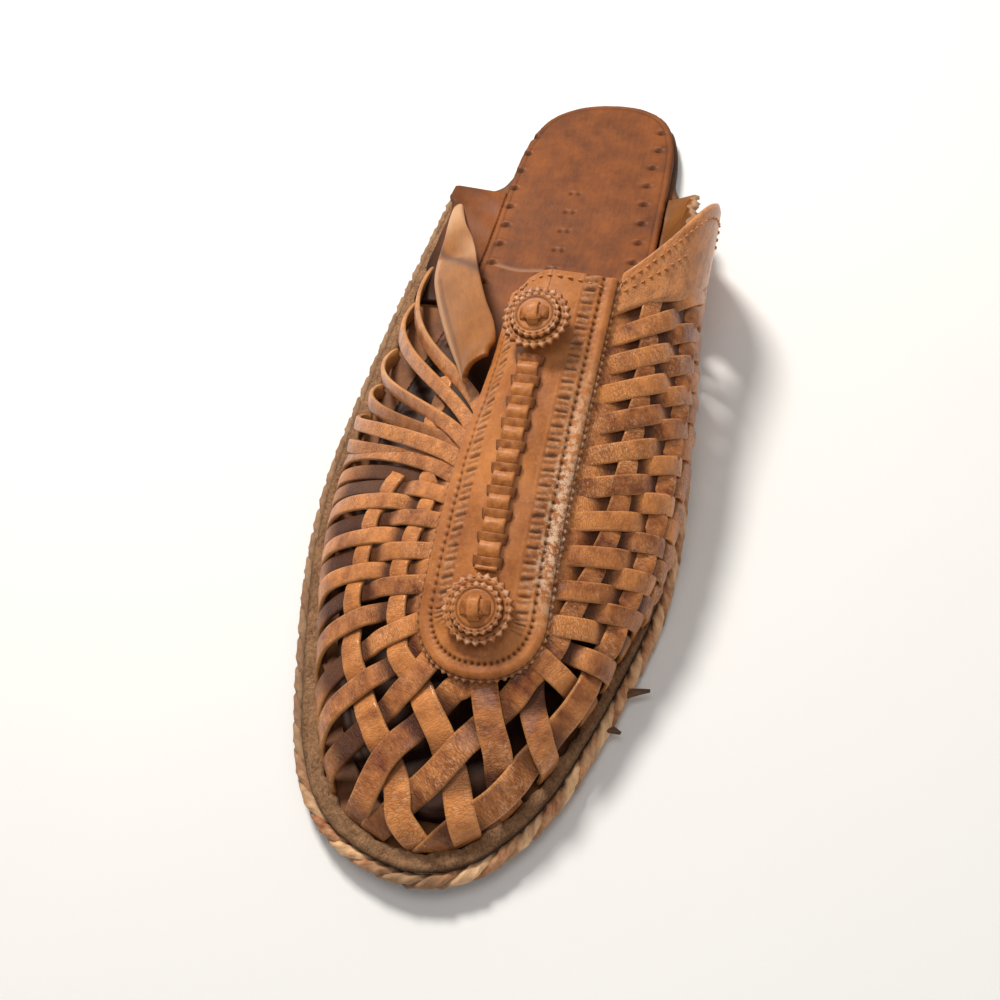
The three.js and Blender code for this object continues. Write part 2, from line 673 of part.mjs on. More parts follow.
function knot() {
  const { width, length, height } = KNOT;
  const shape = new THREE.Shape();
  shape.moveTo(-length / 2, 0);
  shape.lineTo(length / 2, 0);
  shape.quadraticCurveTo(length / 2 + 0.4, height * 0.8, length * 0.22, height);
  shape.lineTo(-length * 0.22, height);
  shape.quadraticCurveTo(-length / 2 - 0.4, height * 0.8, -length / 2, 0);
  const geometry = new THREE.ExtrudeGeometry(shape, { depth: width, bevelEnabled: false, curveSegments: 5 });
  return geometry.translate(0, 0, -width / 2).rotateX(Math.PI / 2).rotateZ(Math.PI / 2);
}

// Group whose +Z leaves the panel and whose +Y runs back towards the heel
function seat(fromHeel, reach, stand) {
  const holder = new THREE.Group();
  const normal = panelNormal(fromHeel, reach);
  const back = crest(fromHeel - 1, reach).sub(crest(fromHeel + 1, reach));
  const across = back.clone().cross(normal).normalize();
  const along = normal.clone().cross(across).normalize();
  holder.setRotationFromMatrix(new THREE.Matrix4().makeBasis(across, along, normal));
  holder.position.copy(crest(fromHeel, reach)).addScaledVector(normal, 2 * GAP + PANEL_THICK + stand);
  return holder;
}

// ---------------------------------------------------------------- assembly
const shoe = new THREE.Group();

function add(parent, name, geometry, colour, roughness = 0.6) {
  const look = new THREE.MeshStandardMaterial({ color: colour, roughness, metalness: 0 });
  const mesh = new THREE.Mesh(geometry, look);
  mesh.name = name;
  parent.add(mesh);
  return mesh;
}

add(shoe, 'outsole', outsole(), COLOURS.sole);
add(shoe, 'insole', insole(), COLOURS.footbed);
add(shoe, 'welt', welt(), COLOURS.welt, 0.9);
add(shoe, 'edge_braid', braid(), COLOURS.braid);
add(shoe, 'ear_left', ear(LEFT_EAR, -1), COLOURS.footbed);
add(shoe, 'ear_right', ear(RIGHT_EAR, 1), COLOURS.flesh);
add(shoe, 'upper', upper(), COLOURS.strips, 0.45);

const bandEdges = steps(0.0, RIGHT_FIRST_STRIP * stripPitch - 0.006, 3);
add(shoe, 'collar_band', strap(1, bandEdges, steps(0.004, 0.962, 12), -WALL, 0), COLOURS.strips, 0.45);
const strapEdges = steps(LEFT_RUNGS[0].edge, LEFT_FIRST_STRIP * stripPitch - 0.008, 2);
add(shoe, 'collar_strap', strap(-1, strapEdges, steps(0.004, 0.965, 10), -WALL, 0), COLOURS.flesh);

add(shoe, 'panel', panel(), COLOURS.panel, 0.5);
add(shoe, 'ladder', ladder(), COLOURS.thong, 0.5);

ROSETTES.forEach(({ name, from_heel: fromHeel, across, stand }) => {
  const holder = seat(fromHeel, across, stand);
  let height = 0;
  ROSETTE_TIERS.forEach((tier) => {
    const disc = add(holder, `${name}_${tier.name}`, pinkedDisc(tier.radius, tier.thick), COLOURS.panel, 0.5);
    disc.position.z = height;
    height += tier.thick + GAP;
  });
  add(holder, `${name}_knot`, knot(), COLOURS.thong, 0.4).position.z = height;
  shoe.add(holder);
});

export default shoe;
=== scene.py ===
import math

import bmesh
import bpy
import numpy as np
from mathutils import Matrix, Vector


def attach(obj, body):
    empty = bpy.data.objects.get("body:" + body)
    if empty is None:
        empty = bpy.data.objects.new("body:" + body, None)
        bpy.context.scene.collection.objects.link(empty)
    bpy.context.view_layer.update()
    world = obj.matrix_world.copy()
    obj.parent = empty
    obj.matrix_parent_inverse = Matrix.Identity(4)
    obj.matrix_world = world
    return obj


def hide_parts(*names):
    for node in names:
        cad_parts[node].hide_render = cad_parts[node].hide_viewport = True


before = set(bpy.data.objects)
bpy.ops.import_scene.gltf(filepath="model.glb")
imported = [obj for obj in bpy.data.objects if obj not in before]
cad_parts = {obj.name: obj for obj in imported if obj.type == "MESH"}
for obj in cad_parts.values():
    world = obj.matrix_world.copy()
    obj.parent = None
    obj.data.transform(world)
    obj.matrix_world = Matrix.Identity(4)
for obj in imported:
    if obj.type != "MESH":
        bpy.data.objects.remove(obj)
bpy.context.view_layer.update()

MM = 0.001
random = np.random.default_rng(11)

# ------------------------------------------------------------------ sizes shared with the frame
LENGTH = 274.0
MIDDLE_ACROSS = -2.75     # across at the middle of the frame's box
OUTSOLE_TOP = 5.0
TREAD_TOP = 5.3           # footbed, ears and welt stand on this level
INSOLE_THICK = 3.5
EAR_THICK = 2.0
FOOT_INSET_SIDE = 7.2     # the frame's wall stands this far in from the edge along the sides
FOOT_INSET_TOE = 8.2
ARCH_RISE = 1.2
TOE_SPRING = 3.5
EDGE_INSET = 4.1          # the sole is cut back this far under the braid
SHOULDER_ROW = 7          # row of the outline where the braid starts
PANEL_TOP = 131.0
PANEL_ARC_CENTRE = 216.0
PANEL_TIP = 232.0
PANEL_STRAIGHT = 0.77     # share of the panel's edge before its round end
PANEL_CREST = 1.5         # power of the fall from its middle line to its edge
SET_OFF = 0.15            # how the vamp leaves the sole and meets the panel
SET_DOWN = 0.40


class Table:
    """Rows of named columns, read at any place along a smooth curve through the rows."""

    def __init__(self, names, rows):
        self.names = names.split()
        self.rows = np.array(rows, float)

    def value(self, name, where):
        x = self.rows[:, 0]
        y = self.rows[:, self.names.index(name)]
        last = len(x) - 1
        i = min(max(int(np.searchsorted(x, where)) - 1, 0), last - 1)

        def slope(k):
            a, b = max(k - 1, 0), min(k + 1, last)
            return (y[b] - y[a]) / (x[b] - x[a])

        span = x[i + 1] - x[i]
        t = clamp((where - x[i]) / span, 0.0, 1.0)
        t2, t3 = t * t, t * t * t
        start = (2 * t3 - 3 * t2 + 1) * y[i] + (t3 - 2 * t2 + t) * span * slope(i)
        return start + (3 * t2 - 2 * t3) * y[i + 1] + (t3 - t2) * span * slope(i + 1)

    def values(self, name, places):
        return np.array([self.value(name, place) for place in places])


# Half widths of the sole and the footbed, and the panel's middle line and its fall to each edge
OUTLINE = Table("from_heel left right", [
    (0, 0, 0), (2.0, 13.2, 13.0), (8.5, 22.2, 21.4), (21, 27.0, 25.8), (35, 28.8, 27.0),
    (42, 31.6, 29.0), (45.2, 37.5, 32.4), (47.6, 48.4, 37.4), (60, 50.6, 39.6), (85, 52.2, 42.0),
    (115, 53.6, 44.8), (145, 55.0, 47.8), (172, 54.6, 49.6), (197, 51.2, 48.4), (218, 45.8, 43.4),
    (236, 40.2, 37.8), (250, 34.6, 32.4), (261, 27.4, 25.4), (269.6, 16.2, 16.4), (LENGTH, -3, 3)])
FOOTBED = Table("from_heel left right", [
    (1.0, 0, 0), (3.2, 12.4, 12.2), (9.6, 21.0, 20.2), (22, 25.8, 24.6), (38, 27.4, 25.8),
    (56, 28.0, 26.2), (80, 28.4, 26.6), (100, 30.0, 28.6), (125, 35.4, 34.4), (150, 40.6, 38.8),
    (172, 41.4, 39.6), (197, 38.2, 37.4), (218, 32.8, 32.0), (236, 26.2, 25.8), (248, 19.0, 20.8),
    (256, 9.0, 13.4), (259.5, -4.6, 4.6)])
PANEL = Table("from_heel across height left_reach left_drop right_reach right_drop", [
    (131, 10.8, 55.2, 12.4, 12.0, 16.6, 5.2),
    (154, 10.2, 51.4, 12.8, 11.0, 16.4, 5.4),
    (178, 9.6, 45.0, 14.8, 7.2, 16.0, 5.0),
    (200, 9.4, 38.4, 15.8, 4.8, 15.8, 4.6),
    (216, 9.4, 33.0, 16.0, 4.0, 16.0, 4.4),
    (232, 9.4, 26.4, 16.0, 3.6, 16.0, 4.0)])
# How the vamp climbs from the sole to the panel, by place along the panel's edge
RUNGS = {
    -1: Table("edge foot rise belly spread sink", [
        (0.12, 0.045, 0.26, 2.0, 10.0, 8.0), (0.30, 0.20, 0.32, 2.5, 11.0, 8.0),
        (0.47, 0.40, 0.46, 4.0, 12.5, 7.0), (0.64, 0.55, 0.52, 4.5, 13.0, 6.0),
        (0.80, 0.69, 0.54, 4.0, 13.0, 5.0), (1.00, 1.00, 0.56, 3.0, 14.0, 7.0)]),
    1: Table("edge foot rise belly spread sink", [
        (0.00, 0.055, 0.55, 16.0, 26.0, 4.0), (0.18, 0.25, 0.58, 12.5, 22.0, 4.0),
        (0.38, 0.38, 0.60, 13.0, 22.0, 4.0), (0.62, 0.56, 0.58, 10.0, 18.0, 4.5),
        (0.80, 0.69, 0.56, 5.0, 13.0, 5.0), (1.00, 1.00, 0.56, 3.0, 14.0, 7.0)]),
}
EARS = {
    "left": Table("from_heel inner outer rise", [
        (47.2, 28.6, 46.6, 2.2), (51.0, 28.4, 46.8, 2.6), (54.5, 28.5, 46.2, 2.8),
        (58.0, 28.6, 38.6, 1.4), (66.0, 28.8, 37.0, 0.8), (82.0, 29.2, 37.0, 0.2),
        (100.0, 30.8, 37.0, 0.0)]),
    "right": Table("from_heel inner outer rise", [
        (47.0, 26.6, 35.6, 3.0), (54.0, 26.6, 36.4, 8.0), (62.0, 26.8, 37.0, 13.0),
        (72.0, 27.0, 37.8, 17.0), (84.0, 27.8, 38.4, 18.0), (100.0, 29.4, 38.2, 14.0),
        (112.0, 32.0, 37.6, 9.0)]),
}


# ------------------------------------------------------------------ small helpers
def clamp(value, low, high):
    return min(high, max(low, value))


def mix(a, b, t):
    return a + (b - a) * t


def smooth(value, low, high):
    t = clamp((value - low) / (high - low), 0.0, 1.0)
    return t * t * (3 - 2 * t)


def unit(vectors):
    """Vectors made one long, for one vector or for rows of them."""
    vectors = np.asarray(vectors, float)
    return vectors / np.maximum(np.linalg.norm(vectors, axis=-1, keepdims=True), 1e-9)


def bell(distance, width):
    """A soft hump: 1 at the middle and near 0 at one width away."""
    return np.exp(-(np.asarray(distance) / width) ** 2 * 3.0)


def saw(turns):
    """Points of a pinked edge: 0 in each notch and 1 at each tooth."""
    return 1 - np.abs(2 * (np.asarray(turns) % 1.0) - 1)


def lift(from_heel):
    """How far the arch and the toe spring raise a place."""
    arch = smooth(from_heel, 62, 105) * (1 - smooth(from_heel, 105, 150))
    toe = clamp((from_heel - 205) / (LENGTH - 205), 0, 1)
    return ARCH_RISE * arch + TOE_SPRING * toe * toe


def at(from_heel, across, height):
    """A place in the frame's own axes, in millimetres."""
    return np.array([across - MIDDLE_ACROSS, LENGTH / 2 - from_heel, height + lift(from_heel)])


# ------------------------------------------------------------------ outlines of sole and footbed
class Outline:
    """A closed smooth outline through a table of left and right reaches."""

    def __init__(self, table):
        rows = table.rows
        self.last = len(rows) - 1
        right = [(row[2], row[0]) for row in rows]
        left = [(-row[1], row[0]) for row in rows[-2:0:-1]]
        self.points = np.array(right + left, float)
        self.count = len(self.points)
        self.line = np.array([self.point(k / 900) for k in range(900)])

    def point(self, t):
        n = self.count
        f = (t % 1.0) * n
        i = int(f)
        u = f - i
        p0, p1, p2, p3 = (self.points[(i + k) % n] for k in (-1, 0, 1, 2))
        d0 = max(float(np.dot(p1 - p0, p1 - p0)) ** 0.25, 1e-4)
        d1 = max(float(np.dot(p2 - p1, p2 - p1)) ** 0.25, 1e-4)
        d2 = max(float(np.dot(p3 - p2, p3 - p2)) ** 0.25, 1e-4)
        t1 = ((p1 - p0) / d0 - (p2 - p0) / (d0 + d1) + (p2 - p1) / d1) * d1
        t2 = ((p2 - p1) / d1 - (p3 - p1) / (d1 + d2) + (p3 - p2) / d2) * d1
        bend = (-3 * p1 + 3 * p2 - 2 * t1 - t2) * u * u
        return p1 + t1 * u + bend + (2 * p1 - 2 * p2 + t1 + t2) * u ** 3

    def edge(self, row, side, inset=0.0):
        """(from_heel, across, outward) at a table row, moved inward; side is -1 left, 1 right."""
        t = row / self.count
        t = t if side > 0 else (1 - t) % 1
        p = self.point(t)
        d = unit(self.point(t + 1e-4) - self.point(t - 1e-4))
        return p[1] + d[0] * inset, p[0] - d[1] * inset, (d[1], -d[0])

    def depth(self, places):
        """How far each (across, from_heel) place lies from the outline."""
        return np.array([np.hypot(*(self.line - place).T).min() for place in places])


sole_outline = Outline(OUTLINE)
footbed_outline = Outline(FOOTBED)


def measured_rim(side):
    """Rows along the forepart's edge on one side, and how far along it each lies."""
    rows = np.linspace(SHOULDER_ROW, sole_outline.last, 401)
    places = np.array([sole_outline.edge(row, side)[:2] for row in rows])
    steps = np.hypot(*np.diff(places, axis=0).T)
    return rows, np.concatenate([[0], np.cumsum(steps)])


RIM = {side: measured_rim(side) for side in (-1, 1)}
RIM_START = 0.004


def rim(side, share, inset):
    """The sole's edge at a share of its way from a shoulder to the toe."""
    rows, lengths = RIM[side]
    row = float(np.interp(clamp(share, 0, 1) * lengths[-1], lengths, rows))
    return sole_outline.edge(row, side, inset)


def rim_walk(step):
    """Even places all round the forepart: (side, share), left shoulder, toe, right shoulder."""
    shares = np.linspace(RIM_START, 1, int(RIM[-1][1][-1] / step))
    return [(-1, s) for s in shares] + [(1, s) for s in shares[-2::-1]]


def foot_inset(share):
    """How far in from the sole's edge the frame's wall stands."""
    return mix(FOOT_INSET_SIDE, FOOT_INSET_TOE, smooth(share, 0.55, 0.95))


def foot_out(side, share):
    """The strips' feet stand this much nearer the edge than the frame's."""
    return mix(0.5 if side < 0 else 2.3, 1.5, smooth(share, 0.75, 0.97))


# ------------------------------------------------------------------ surface of the vamp
# A place on the vamp is (w, up). w is 0 at the middle of the toe and runs to -1 on the left and 1 on
# the right of the panel's top. up is 0 at the sole, 1 at the panel's edge and 2 at its middle line.
def panel_row(edge):
    """(from_heel, share of width) at a share of the panel's edge, from its top to the toe."""
    if edge <= PANEL_STRAIGHT:
        return mix(PANEL_TOP, PANEL_ARC_CENTRE, edge / PANEL_STRAIGHT), 1.0
    turn = (edge - PANEL_STRAIGHT) / (1 - PANEL_STRAIGHT) * math.pi / 2
    return mix(PANEL_ARC_CENTRE, PANEL_TIP, math.sin(turn)), math.cos(turn)


def crest(from_heel, reach):
    """A place on the panel; reach is 0 at its middle line and -1 or 1 at its edges."""
    name = "left" if reach < 0 else "right"
    across = PANEL.value("across", from_heel) + reach * PANEL.value(name + "_reach", from_heel)
    drop = PANEL.value(name + "_drop", from_heel) * abs(reach) ** PANEL_CREST
    return at(from_heel, across, PANEL.value("height", from_heel) - drop)


def crest_normal(from_heel, reach):
    s = clamp(from_heel, PANEL_TOP + 1, PANEL_TIP - 1)
    a = clamp(reach, -0.98, 0.98)
    along = crest(s + 1, a) - crest(s - 1, a)
    across = crest(s, a + 0.02) - crest(s, a - 0.02)
    normal = unit(np.cross(across, along))
    return normal if normal[2] > 0 else -normal


def panel_place(w, inward):
    """(from_heel, reach) on the panel; inward is 0 at its edge and 1 at its middle line."""
    side = -1 if w < 0 else 1
    edge = 1 - min(abs(w), 1.0)
    from_heel, width = panel_row(edge)
    if edge > PANEL_STRAIGHT:
        from_heel = mix(from_heel, PANEL_ARC_CENTRE, inward)
    return from_heel, side * width * (1 - inward)


def vamp(w, up):
    """A place on the outer surface of the vamp."""
    if up > 1:
        return crest(*panel_place(w, up - 1))
    side = -1 if w < 0 else 1
    edge = 1 - min(abs(w), 1.0)
    rungs = RUNGS[side]
    from_heel, width = panel_row(edge)
    share = clamp(rungs.value("foot", edge), 0, 1)
    foot_heel, foot_across, out = rim(side, share, foot_inset(share) - foot_out(side, share))
    start = at(foot_heel, foot_across, TREAD_TOP)
    end = crest(from_heel, side * width)
    arc = clamp((from_heel - PANEL_ARC_CENTRE) / (PANEL_TIP - PANEL_ARC_CENTRE), 0, 1)
    turn = math.asin(arc)
    run = (end[1] - start[1]) * math.cos(turn)
    belly = rungs.value("belly", edge)
    rise = rungs.value("rise", edge) * (end[2] - start[2])
    first = start + np.array([out[0] * belly, SET_OFF * run - out[1] * belly, rise])
    spread = rungs.value("spread", edge)
    fall = SET_DOWN * run + math.sin(turn) * spread
    second = end + np.array([side * math.cos(turn) * spread, -fall, -rungs.value("sink", edge)])
    t = up
    near = (1 - t) ** 3 * start + 3 * (1 - t) ** 2 * t * first
    return near + 3 * (1 - t) * t * t * second + t ** 3 * end


LEFT_END = -0.88          # the left weave starts here
STEP = 0.012              # how far apart the places are that a normal is worked out from


def vamp_normal(w, up):
    if up > 1.0:
        return crest_normal(*panel_place(w, up - 1))
    low = clamp(w - STEP, LEFT_END, 1)
    high = clamp(w + STEP, LEFT_END, 1)
    t = clamp(up, STEP, 1 - STEP)
    along = vamp(high, t) - vamp(low, t)
    rising = vamp(w, t + STEP) - vamp(w, t - STEP)
    normal = unit(np.cross(along, rising))
    if up > 0.9:
        near = crest_normal(*panel_place(w, 0))
        normal = unit(mix(normal, near, (up - 0.9) / 0.2))
    return normal


# ------------------------------------------------------------------ meshes
class Piece:
    """Closed bodies gathered into one mesh, with a few marks kept on every point."""

    # deep carries painted shade in most pieces, and the outsole's dark dressed edge; the mark for pale
    # cut edges also carries wear, the braid's grime and the strap's painted highlight
    MARKS = ("tone", "across", "along", "cut", "deep")

    def __init__(self):
        self.points, self.faces, self.marks, self.count = [], [], [], 0

    def body(self, points, faces, **marks):
        points = np.asarray(points, float).reshape(-1, 3)
        values = np.zeros((len(points), len(self.MARKS)))
        for name, value in marks.items():
            values[:, self.MARKS.index(name)] = np.ravel(value)
        self.points.append(points)
        self.marks.append(values)
        self.faces.extend([[k + self.count for k in face] for face in faces])
        self.count += len(points)

    def make(self, name, finish, slot, *nodes):
        mesh = bpy.data.meshes.new(name)
        mesh.from_pydata((np.concatenate(self.points) * MM).tolist(), [], self.faces)
        mesh.validate()
        shell = bmesh.new()
        shell.from_mesh(mesh)
        bmesh.ops.recalc_face_normals(shell, faces=shell.faces)
        shell.to_mesh(mesh)
        shell.free()
        mesh.polygons.foreach_set("use_smooth", [True] * len(mesh.polygons))
        values = np.concatenate(self.marks)
        for k, mark in enumerate(self.MARKS):
            layer = mesh.attributes.new(mark, "FLOAT", "POINT")
            layer.data.foreach_set("value", values[:, k].astype(np.float32))
        mesh.materials.append(finish)
        thing = bpy.data.objects.new(name, mesh)
        bpy.context.scene.collection.objects.link(thing)
        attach(thing, "root")
        if nodes:
            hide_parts(*nodes)


def tube_faces(rings, sides):
    """A closed body over rings of points, all of the same number of sides."""
    faces = []
    for j in range(rings - 1):
        a, b = j * sides, (j + 1) * sides
        for k in range(sides):
            n = (k + 1) % sides
            faces.append([a + k, b + k, b + n, a + n])
    end = (rings - 1) * sides
    faces.append(list(range(sides)))
    faces.append([end + k for k in reversed(range(sides))])
    return faces


def plate_faces(rows, columns):
    """A closed body over two sheets of points of the same rows and columns, top sheet first."""
    low = rows * columns
    faces = []
    for j in range(rows - 1):
        for i in range(columns - 1):
            a = j * columns + i
            b = a + columns
            faces.append([a, a + 1, b + 1, b])
            faces.append([low + a, low + b, low + b + 1, low + a + 1])
        for i, turned in ((0, False), (columns - 1, True)):
            a = j * columns + i
            wall = [a, a + columns, low + a + columns, low + a]
            faces.append(wall[::-1] if turned else wall)
    for j, turned in ((0, True), (rows - 1, False)):
        for i in range(columns - 1):
            a = j * columns + i
            wall = [a, a + 1, low + a + 1, low + a]
            faces.append(wall[::-1] if turned else wall)
    return faces


# Section of a leather strip: (across, height) as shares, top first, then the underside back
STRIP_SECTION = np.array([
    (-0.96, 0.80), (-0.80, 1.0), (-0.4, 1.10), (0.0, 1.14), (0.4, 1.10), (0.80, 1.0), (0.96, 0.80),
    (1.0, 0.30), (1.0, -0.55), (0.93, -1.0), (0.0, -1.0), (-0.93, -1.0), (-1.0, -0.55), (-1.0, 0.30)])
STRIP_CUT = np.array([0.5, 0, 0, 0, 0, 0, 0.5, 1, 1, 1, 1, 1, 1, 1])


def run_along(path):
    """How far along a path each of its points is."""
    return np.concatenate([[0], np.cumsum(np.linalg.norm(np.diff(path, axis=0), axis=1))])


def strip(piece, path, normals, width, thick, shade=None, deep=0.0):
    """One leather strip along a path, its grain side facing along the normals."""
    path = np.asarray(path, float)
    along = unit(np.gradient(path, axis=0))
    side = unit(np.cross(along, normals))
    up = np.cross(side, along)
    width = np.broadcast_to(width, len(path))[:, None, None]
    u, v = STRIP_SECTION[:, 0], STRIP_SECTION[:, 1]
    points = path[:, None] + side[:, None] * (u[None, :, None] * width / 2)
    points = points + up[:, None] * (v[None, :, None] * thick / 2)
    sides = len(u)
    piece.body(
        points, tube_faces(len(path), sides),
        tone=random.uniform(-1, 1) if shade is None else shade,
        across=np.tile(u, len(path)),
        along=np.repeat(run_along(path), sides),
        cut=np.tile(STRIP_CUT, len(path)),
        deep=np.repeat(np.broadcast_to(deep, len(path)), sides))


def even(path, step):
    """A path of the same course with its points an even step apart."""
    path = np.asarray(path, float)
    run = run_along(path)
    places = np.linspace(0, run[-1], max(int(run[-1] / step) + 1, 4))
    return np.stack([np.interp(places, run, path[:, k]) for k in range(path.shape[1])], axis=1)


# ------------------------------------------------------------------ finishes
def tone(code):
    """A colour from its usual six-figure code, as light."""
    parts = [int(code[k:k + 2], 16) / 255 for k in (1, 3, 5)]
    light = [((c + 0.055) / 1.055) ** 2.4 if c > 0.04045 else c / 12.92 for c in parts]
    return (*light, 1.0)


class Value:
    """A socket that can stand in sums: value * 2 + other adds its Math nodes."""

    def __init__(self, finish, socket):
        self.finish = finish
        self.socket = socket

    def maths(self, operation, *terms):
        return self.finish.node("ShaderNodeMath", {"operation": operation}, dict(enumerate(terms)))

    def __add__(self, other):
        return self.maths("ADD", self, other)

    def __mul__(self, other):
        return self.maths("MULTIPLY", self, other)

    def __sub__(self, other):
        return self.maths("SUBTRACT", self, other)

    def __rsub__(self, other):
        return self.maths("SUBTRACT", other, self)

    __radd__ = __add__
    __rmul__ = __mul__

    def held(self):
        """The same value kept between 0 and 1."""
        return self.finish.node(
            "ShaderNodeMath", {"operation": "ADD", "use_clamp": True}, {0: self, 1: 0.0})

    def between(self, low, high):
        """0 below low, 1 above high and an even climb between them."""
        return self.finish.node("ShaderNodeMapRange", {}, {"Value": self, 1: low, 2: high})


class Finish:
    """A material under a maker's plain name, and what its nodes are made with."""

    def __init__(self, name):
        self.material = bpy.data.materials.new(name)
        self.material.use_nodes = True
        self.tree = self.material.node_tree
        self.tree.nodes.clear()

    def node(self, kind, settings=None, sockets=None, output=0):
        """Any node: its settings first, then values and links for its sockets."""
        node = self.tree.nodes.new(kind)
        for name, value in (settings or {}).items():
            setattr(node, name, value)
        for name, value in (sockets or {}).items():
            if isinstance(value, Value):
                self.tree.links.new(value.socket, node.inputs[name])
            else:
                node.inputs[name].default_value = value
        return Value(self, node.outputs[output]) if output is not None else None

    def place(self):
        """The place on the shoe, in metres."""
        return self.node("ShaderNodeTexCoord", output="Object")

    def mark(self, name):
        """A mark kept on the points of every piece."""
        return self.node("ShaderNodeAttribute", {"attribute_name": name}, output="Fac")

    def lay(self, x, y, z=0.0):
        """A place worked out from values, for a grain that follows the leather."""
        return self.node("ShaderNodeCombineXYZ", {}, {0: x, 1: y, 2: z})

    def noise(self, per_mm, detail=4.0, roughness=0.55, where=None, distortion=0.0):
        """Soft random light and dark; per_mm is how many changes it has in a millimetre."""
        scale = per_mm / MM if where is None else per_mm
        return self.node("ShaderNodeTexNoise", {}, {
            "Vector": where or self.place(), "Scale": scale, "Detail": detail,
            "Roughness": roughness, "Distortion": distortion})

    def cells(self, per_mm, where=None):
        """Distance to the edge of small cells, as in the crackle of a glaze or a grain."""
        scale = per_mm / MM if where is None else per_mm
        return self.node("ShaderNodeTexVoronoi", {"feature": "DISTANCE_TO_EDGE"}, {
            "Vector": where or self.place(), "Scale": scale}, output="Distance")

    def blend(self, factor, a, b):
        """Colour a, and colour b where the factor is high."""
        return self.node("ShaderNodeMix", {"data_type": "RGBA"}, {0: factor, 6: a, 7: b}, output=2)

    def tones(self, factor, dark, light):
        """From a dark to a light colour, both given by code."""
        return self.blend(factor, tone(dark), tone(light))

    def over(self, colour, share, code):
        """A colour laid over another where share is high."""
        return self.blend(share.held(), colour, tone(code))

    def bump(self, height, strength, distance_mm, below=None):
        """A normal for fine relief; below is a normal that it is laid over."""
        sockets = {"Height": height, "Strength": strength, "Distance": distance_mm * MM}
        if below is not None:
            sockets["Normal"] = below
        return self.node("ShaderNodeBump", {}, sockets)

    def leather(self, colour, roughness, normal, coat=0.0, coat_roughness=0.3, specular=0.45):
        """Closes the material; coat is how much glaze lies over it."""
        surface = self.node("ShaderNodeBsdfPrincipled", {}, {
            "Base Color": colour, "Roughness": roughness, "Normal": normal,
            "Coat Weight": coat, "Coat Roughness": coat_roughness,
            "Specular IOR Level": specular})
        self.node("ShaderNodeOutputMaterial", {}, {"Surface": surface}, output=None)
        return self.material


def strip_leather():
    """Brown strips with a crackled glaze, rubbed pale on the crests and pale where they are cut."""
    f = Finish("strip_leather")
    along, across, shade = f.mark("along"), f.mark("across"), f.mark("tone")
    lay = f.lay(along * 0.5, across * 0.9, shade * 37.0)
    mottle = f.noise(0.5, 6.0, 0.65, where=lay)
    broad = f.noise(0.05, 3.0, 0.6)
    mask = (mottle * 1.7 + broad * 0.7 + shade * 0.20 - 0.62).between(0.10, 0.85)
    colour = f.tones(mask, "#74330f", "#e6934e")
    crackle = f.lay(along * 1.5, across * 1.5, shade * 11.0)
    crazing = f.cells(1.1, where=crackle)
    cracks = 1 - crazing.between(0.0, 0.10)
    creased = f.lay(along * 1.5, across * 2.4, shade * 19.0)
    wrinkles = f.noise(1.0, 8.0, 0.8, where=creased, distortion=0.3)
    zone = f.noise(0.05, 4.0, 0.65).between(0.44, 0.60)
    rubbed = wrinkles.between(0.51, 0.61) * (zone * 0.85 + 0.10)
    colour = f.over(colour, rubbed * 0.66, "#fbc699")
    colour = f.over(colour, cracks * 0.50 * (zone * 0.7 + 0.3), "#4a2009")
    colour = f.over(colour, f.mark("cut") * 0.60, "#d29757")
    # painted shade where a strip dips under the strips it crosses
    colour = f.over(colour, f.mark("deep") * 0.93, "#3c1706")
    rough = (0.22 + mottle * 0.34 + f.mark("cut") * 0.3).held()
    height = crazing.between(0.0, 0.14) * 0.3 + wrinkles * 0.8 + mottle * 0.7
    normal = f.bump(height, 0.8, 0.32, f.bump(f.noise(5.0, 4.0, 0.7), 0.35, 0.06))
    glaze = (0.34 - f.mark("deep") * 0.34).held()
    return f.leather(colour, rough, normal, coat=glaze, coat_roughness=0.14, specular=0.28)


def panel_leather():
    """Tooled panel: warm brown, with painted shade in every cut, and rubbed pale on what stands proud."""
    f = Finish("panel_leather")
    deep, proud = f.mark("deep"), f.mark("cut")
    broad = f.noise(0.07, 4.0, 0.6)
    fine = f.noise(0.6, 6.0, 0.7)
    mask = (broad * 1.3 + fine * 0.6 - 0.45).between(0.1, 0.9)
    colour = f.tones(mask, "#8f4a1a", "#df8e48")
    speckle = f.noise(0.65, 8.0, 0.8).between(0.48, 0.54)
    rubbed = proud * speckle + f.noise(1.4, 6.0, 0.7).between(0.60, 0.66) * 0.25
    colour = f.over(colour, rubbed * 0.75, "#f6d3b0")
    # painted shade in the grooves, punched dots, bar slits and pinked notches, on the panel and on the
    # discs
    colour = f.over(colour, deep * 0.95, "#2b1207")
    rough = (0.30 + f.noise(0.8, 5.0) * 0.34 + deep * 0.3).held()
    height = fine * 0.9 + f.noise(1.8, 8.0, 0.8) * 0.7 + broad * 0.5
    height = height + f.cells(0.9).between(0.0, 0.06) * 0.08
    return f.leather(colour, rough, f.bump(height, 0.7, 0.3), coat=0.15, specular=0.3)


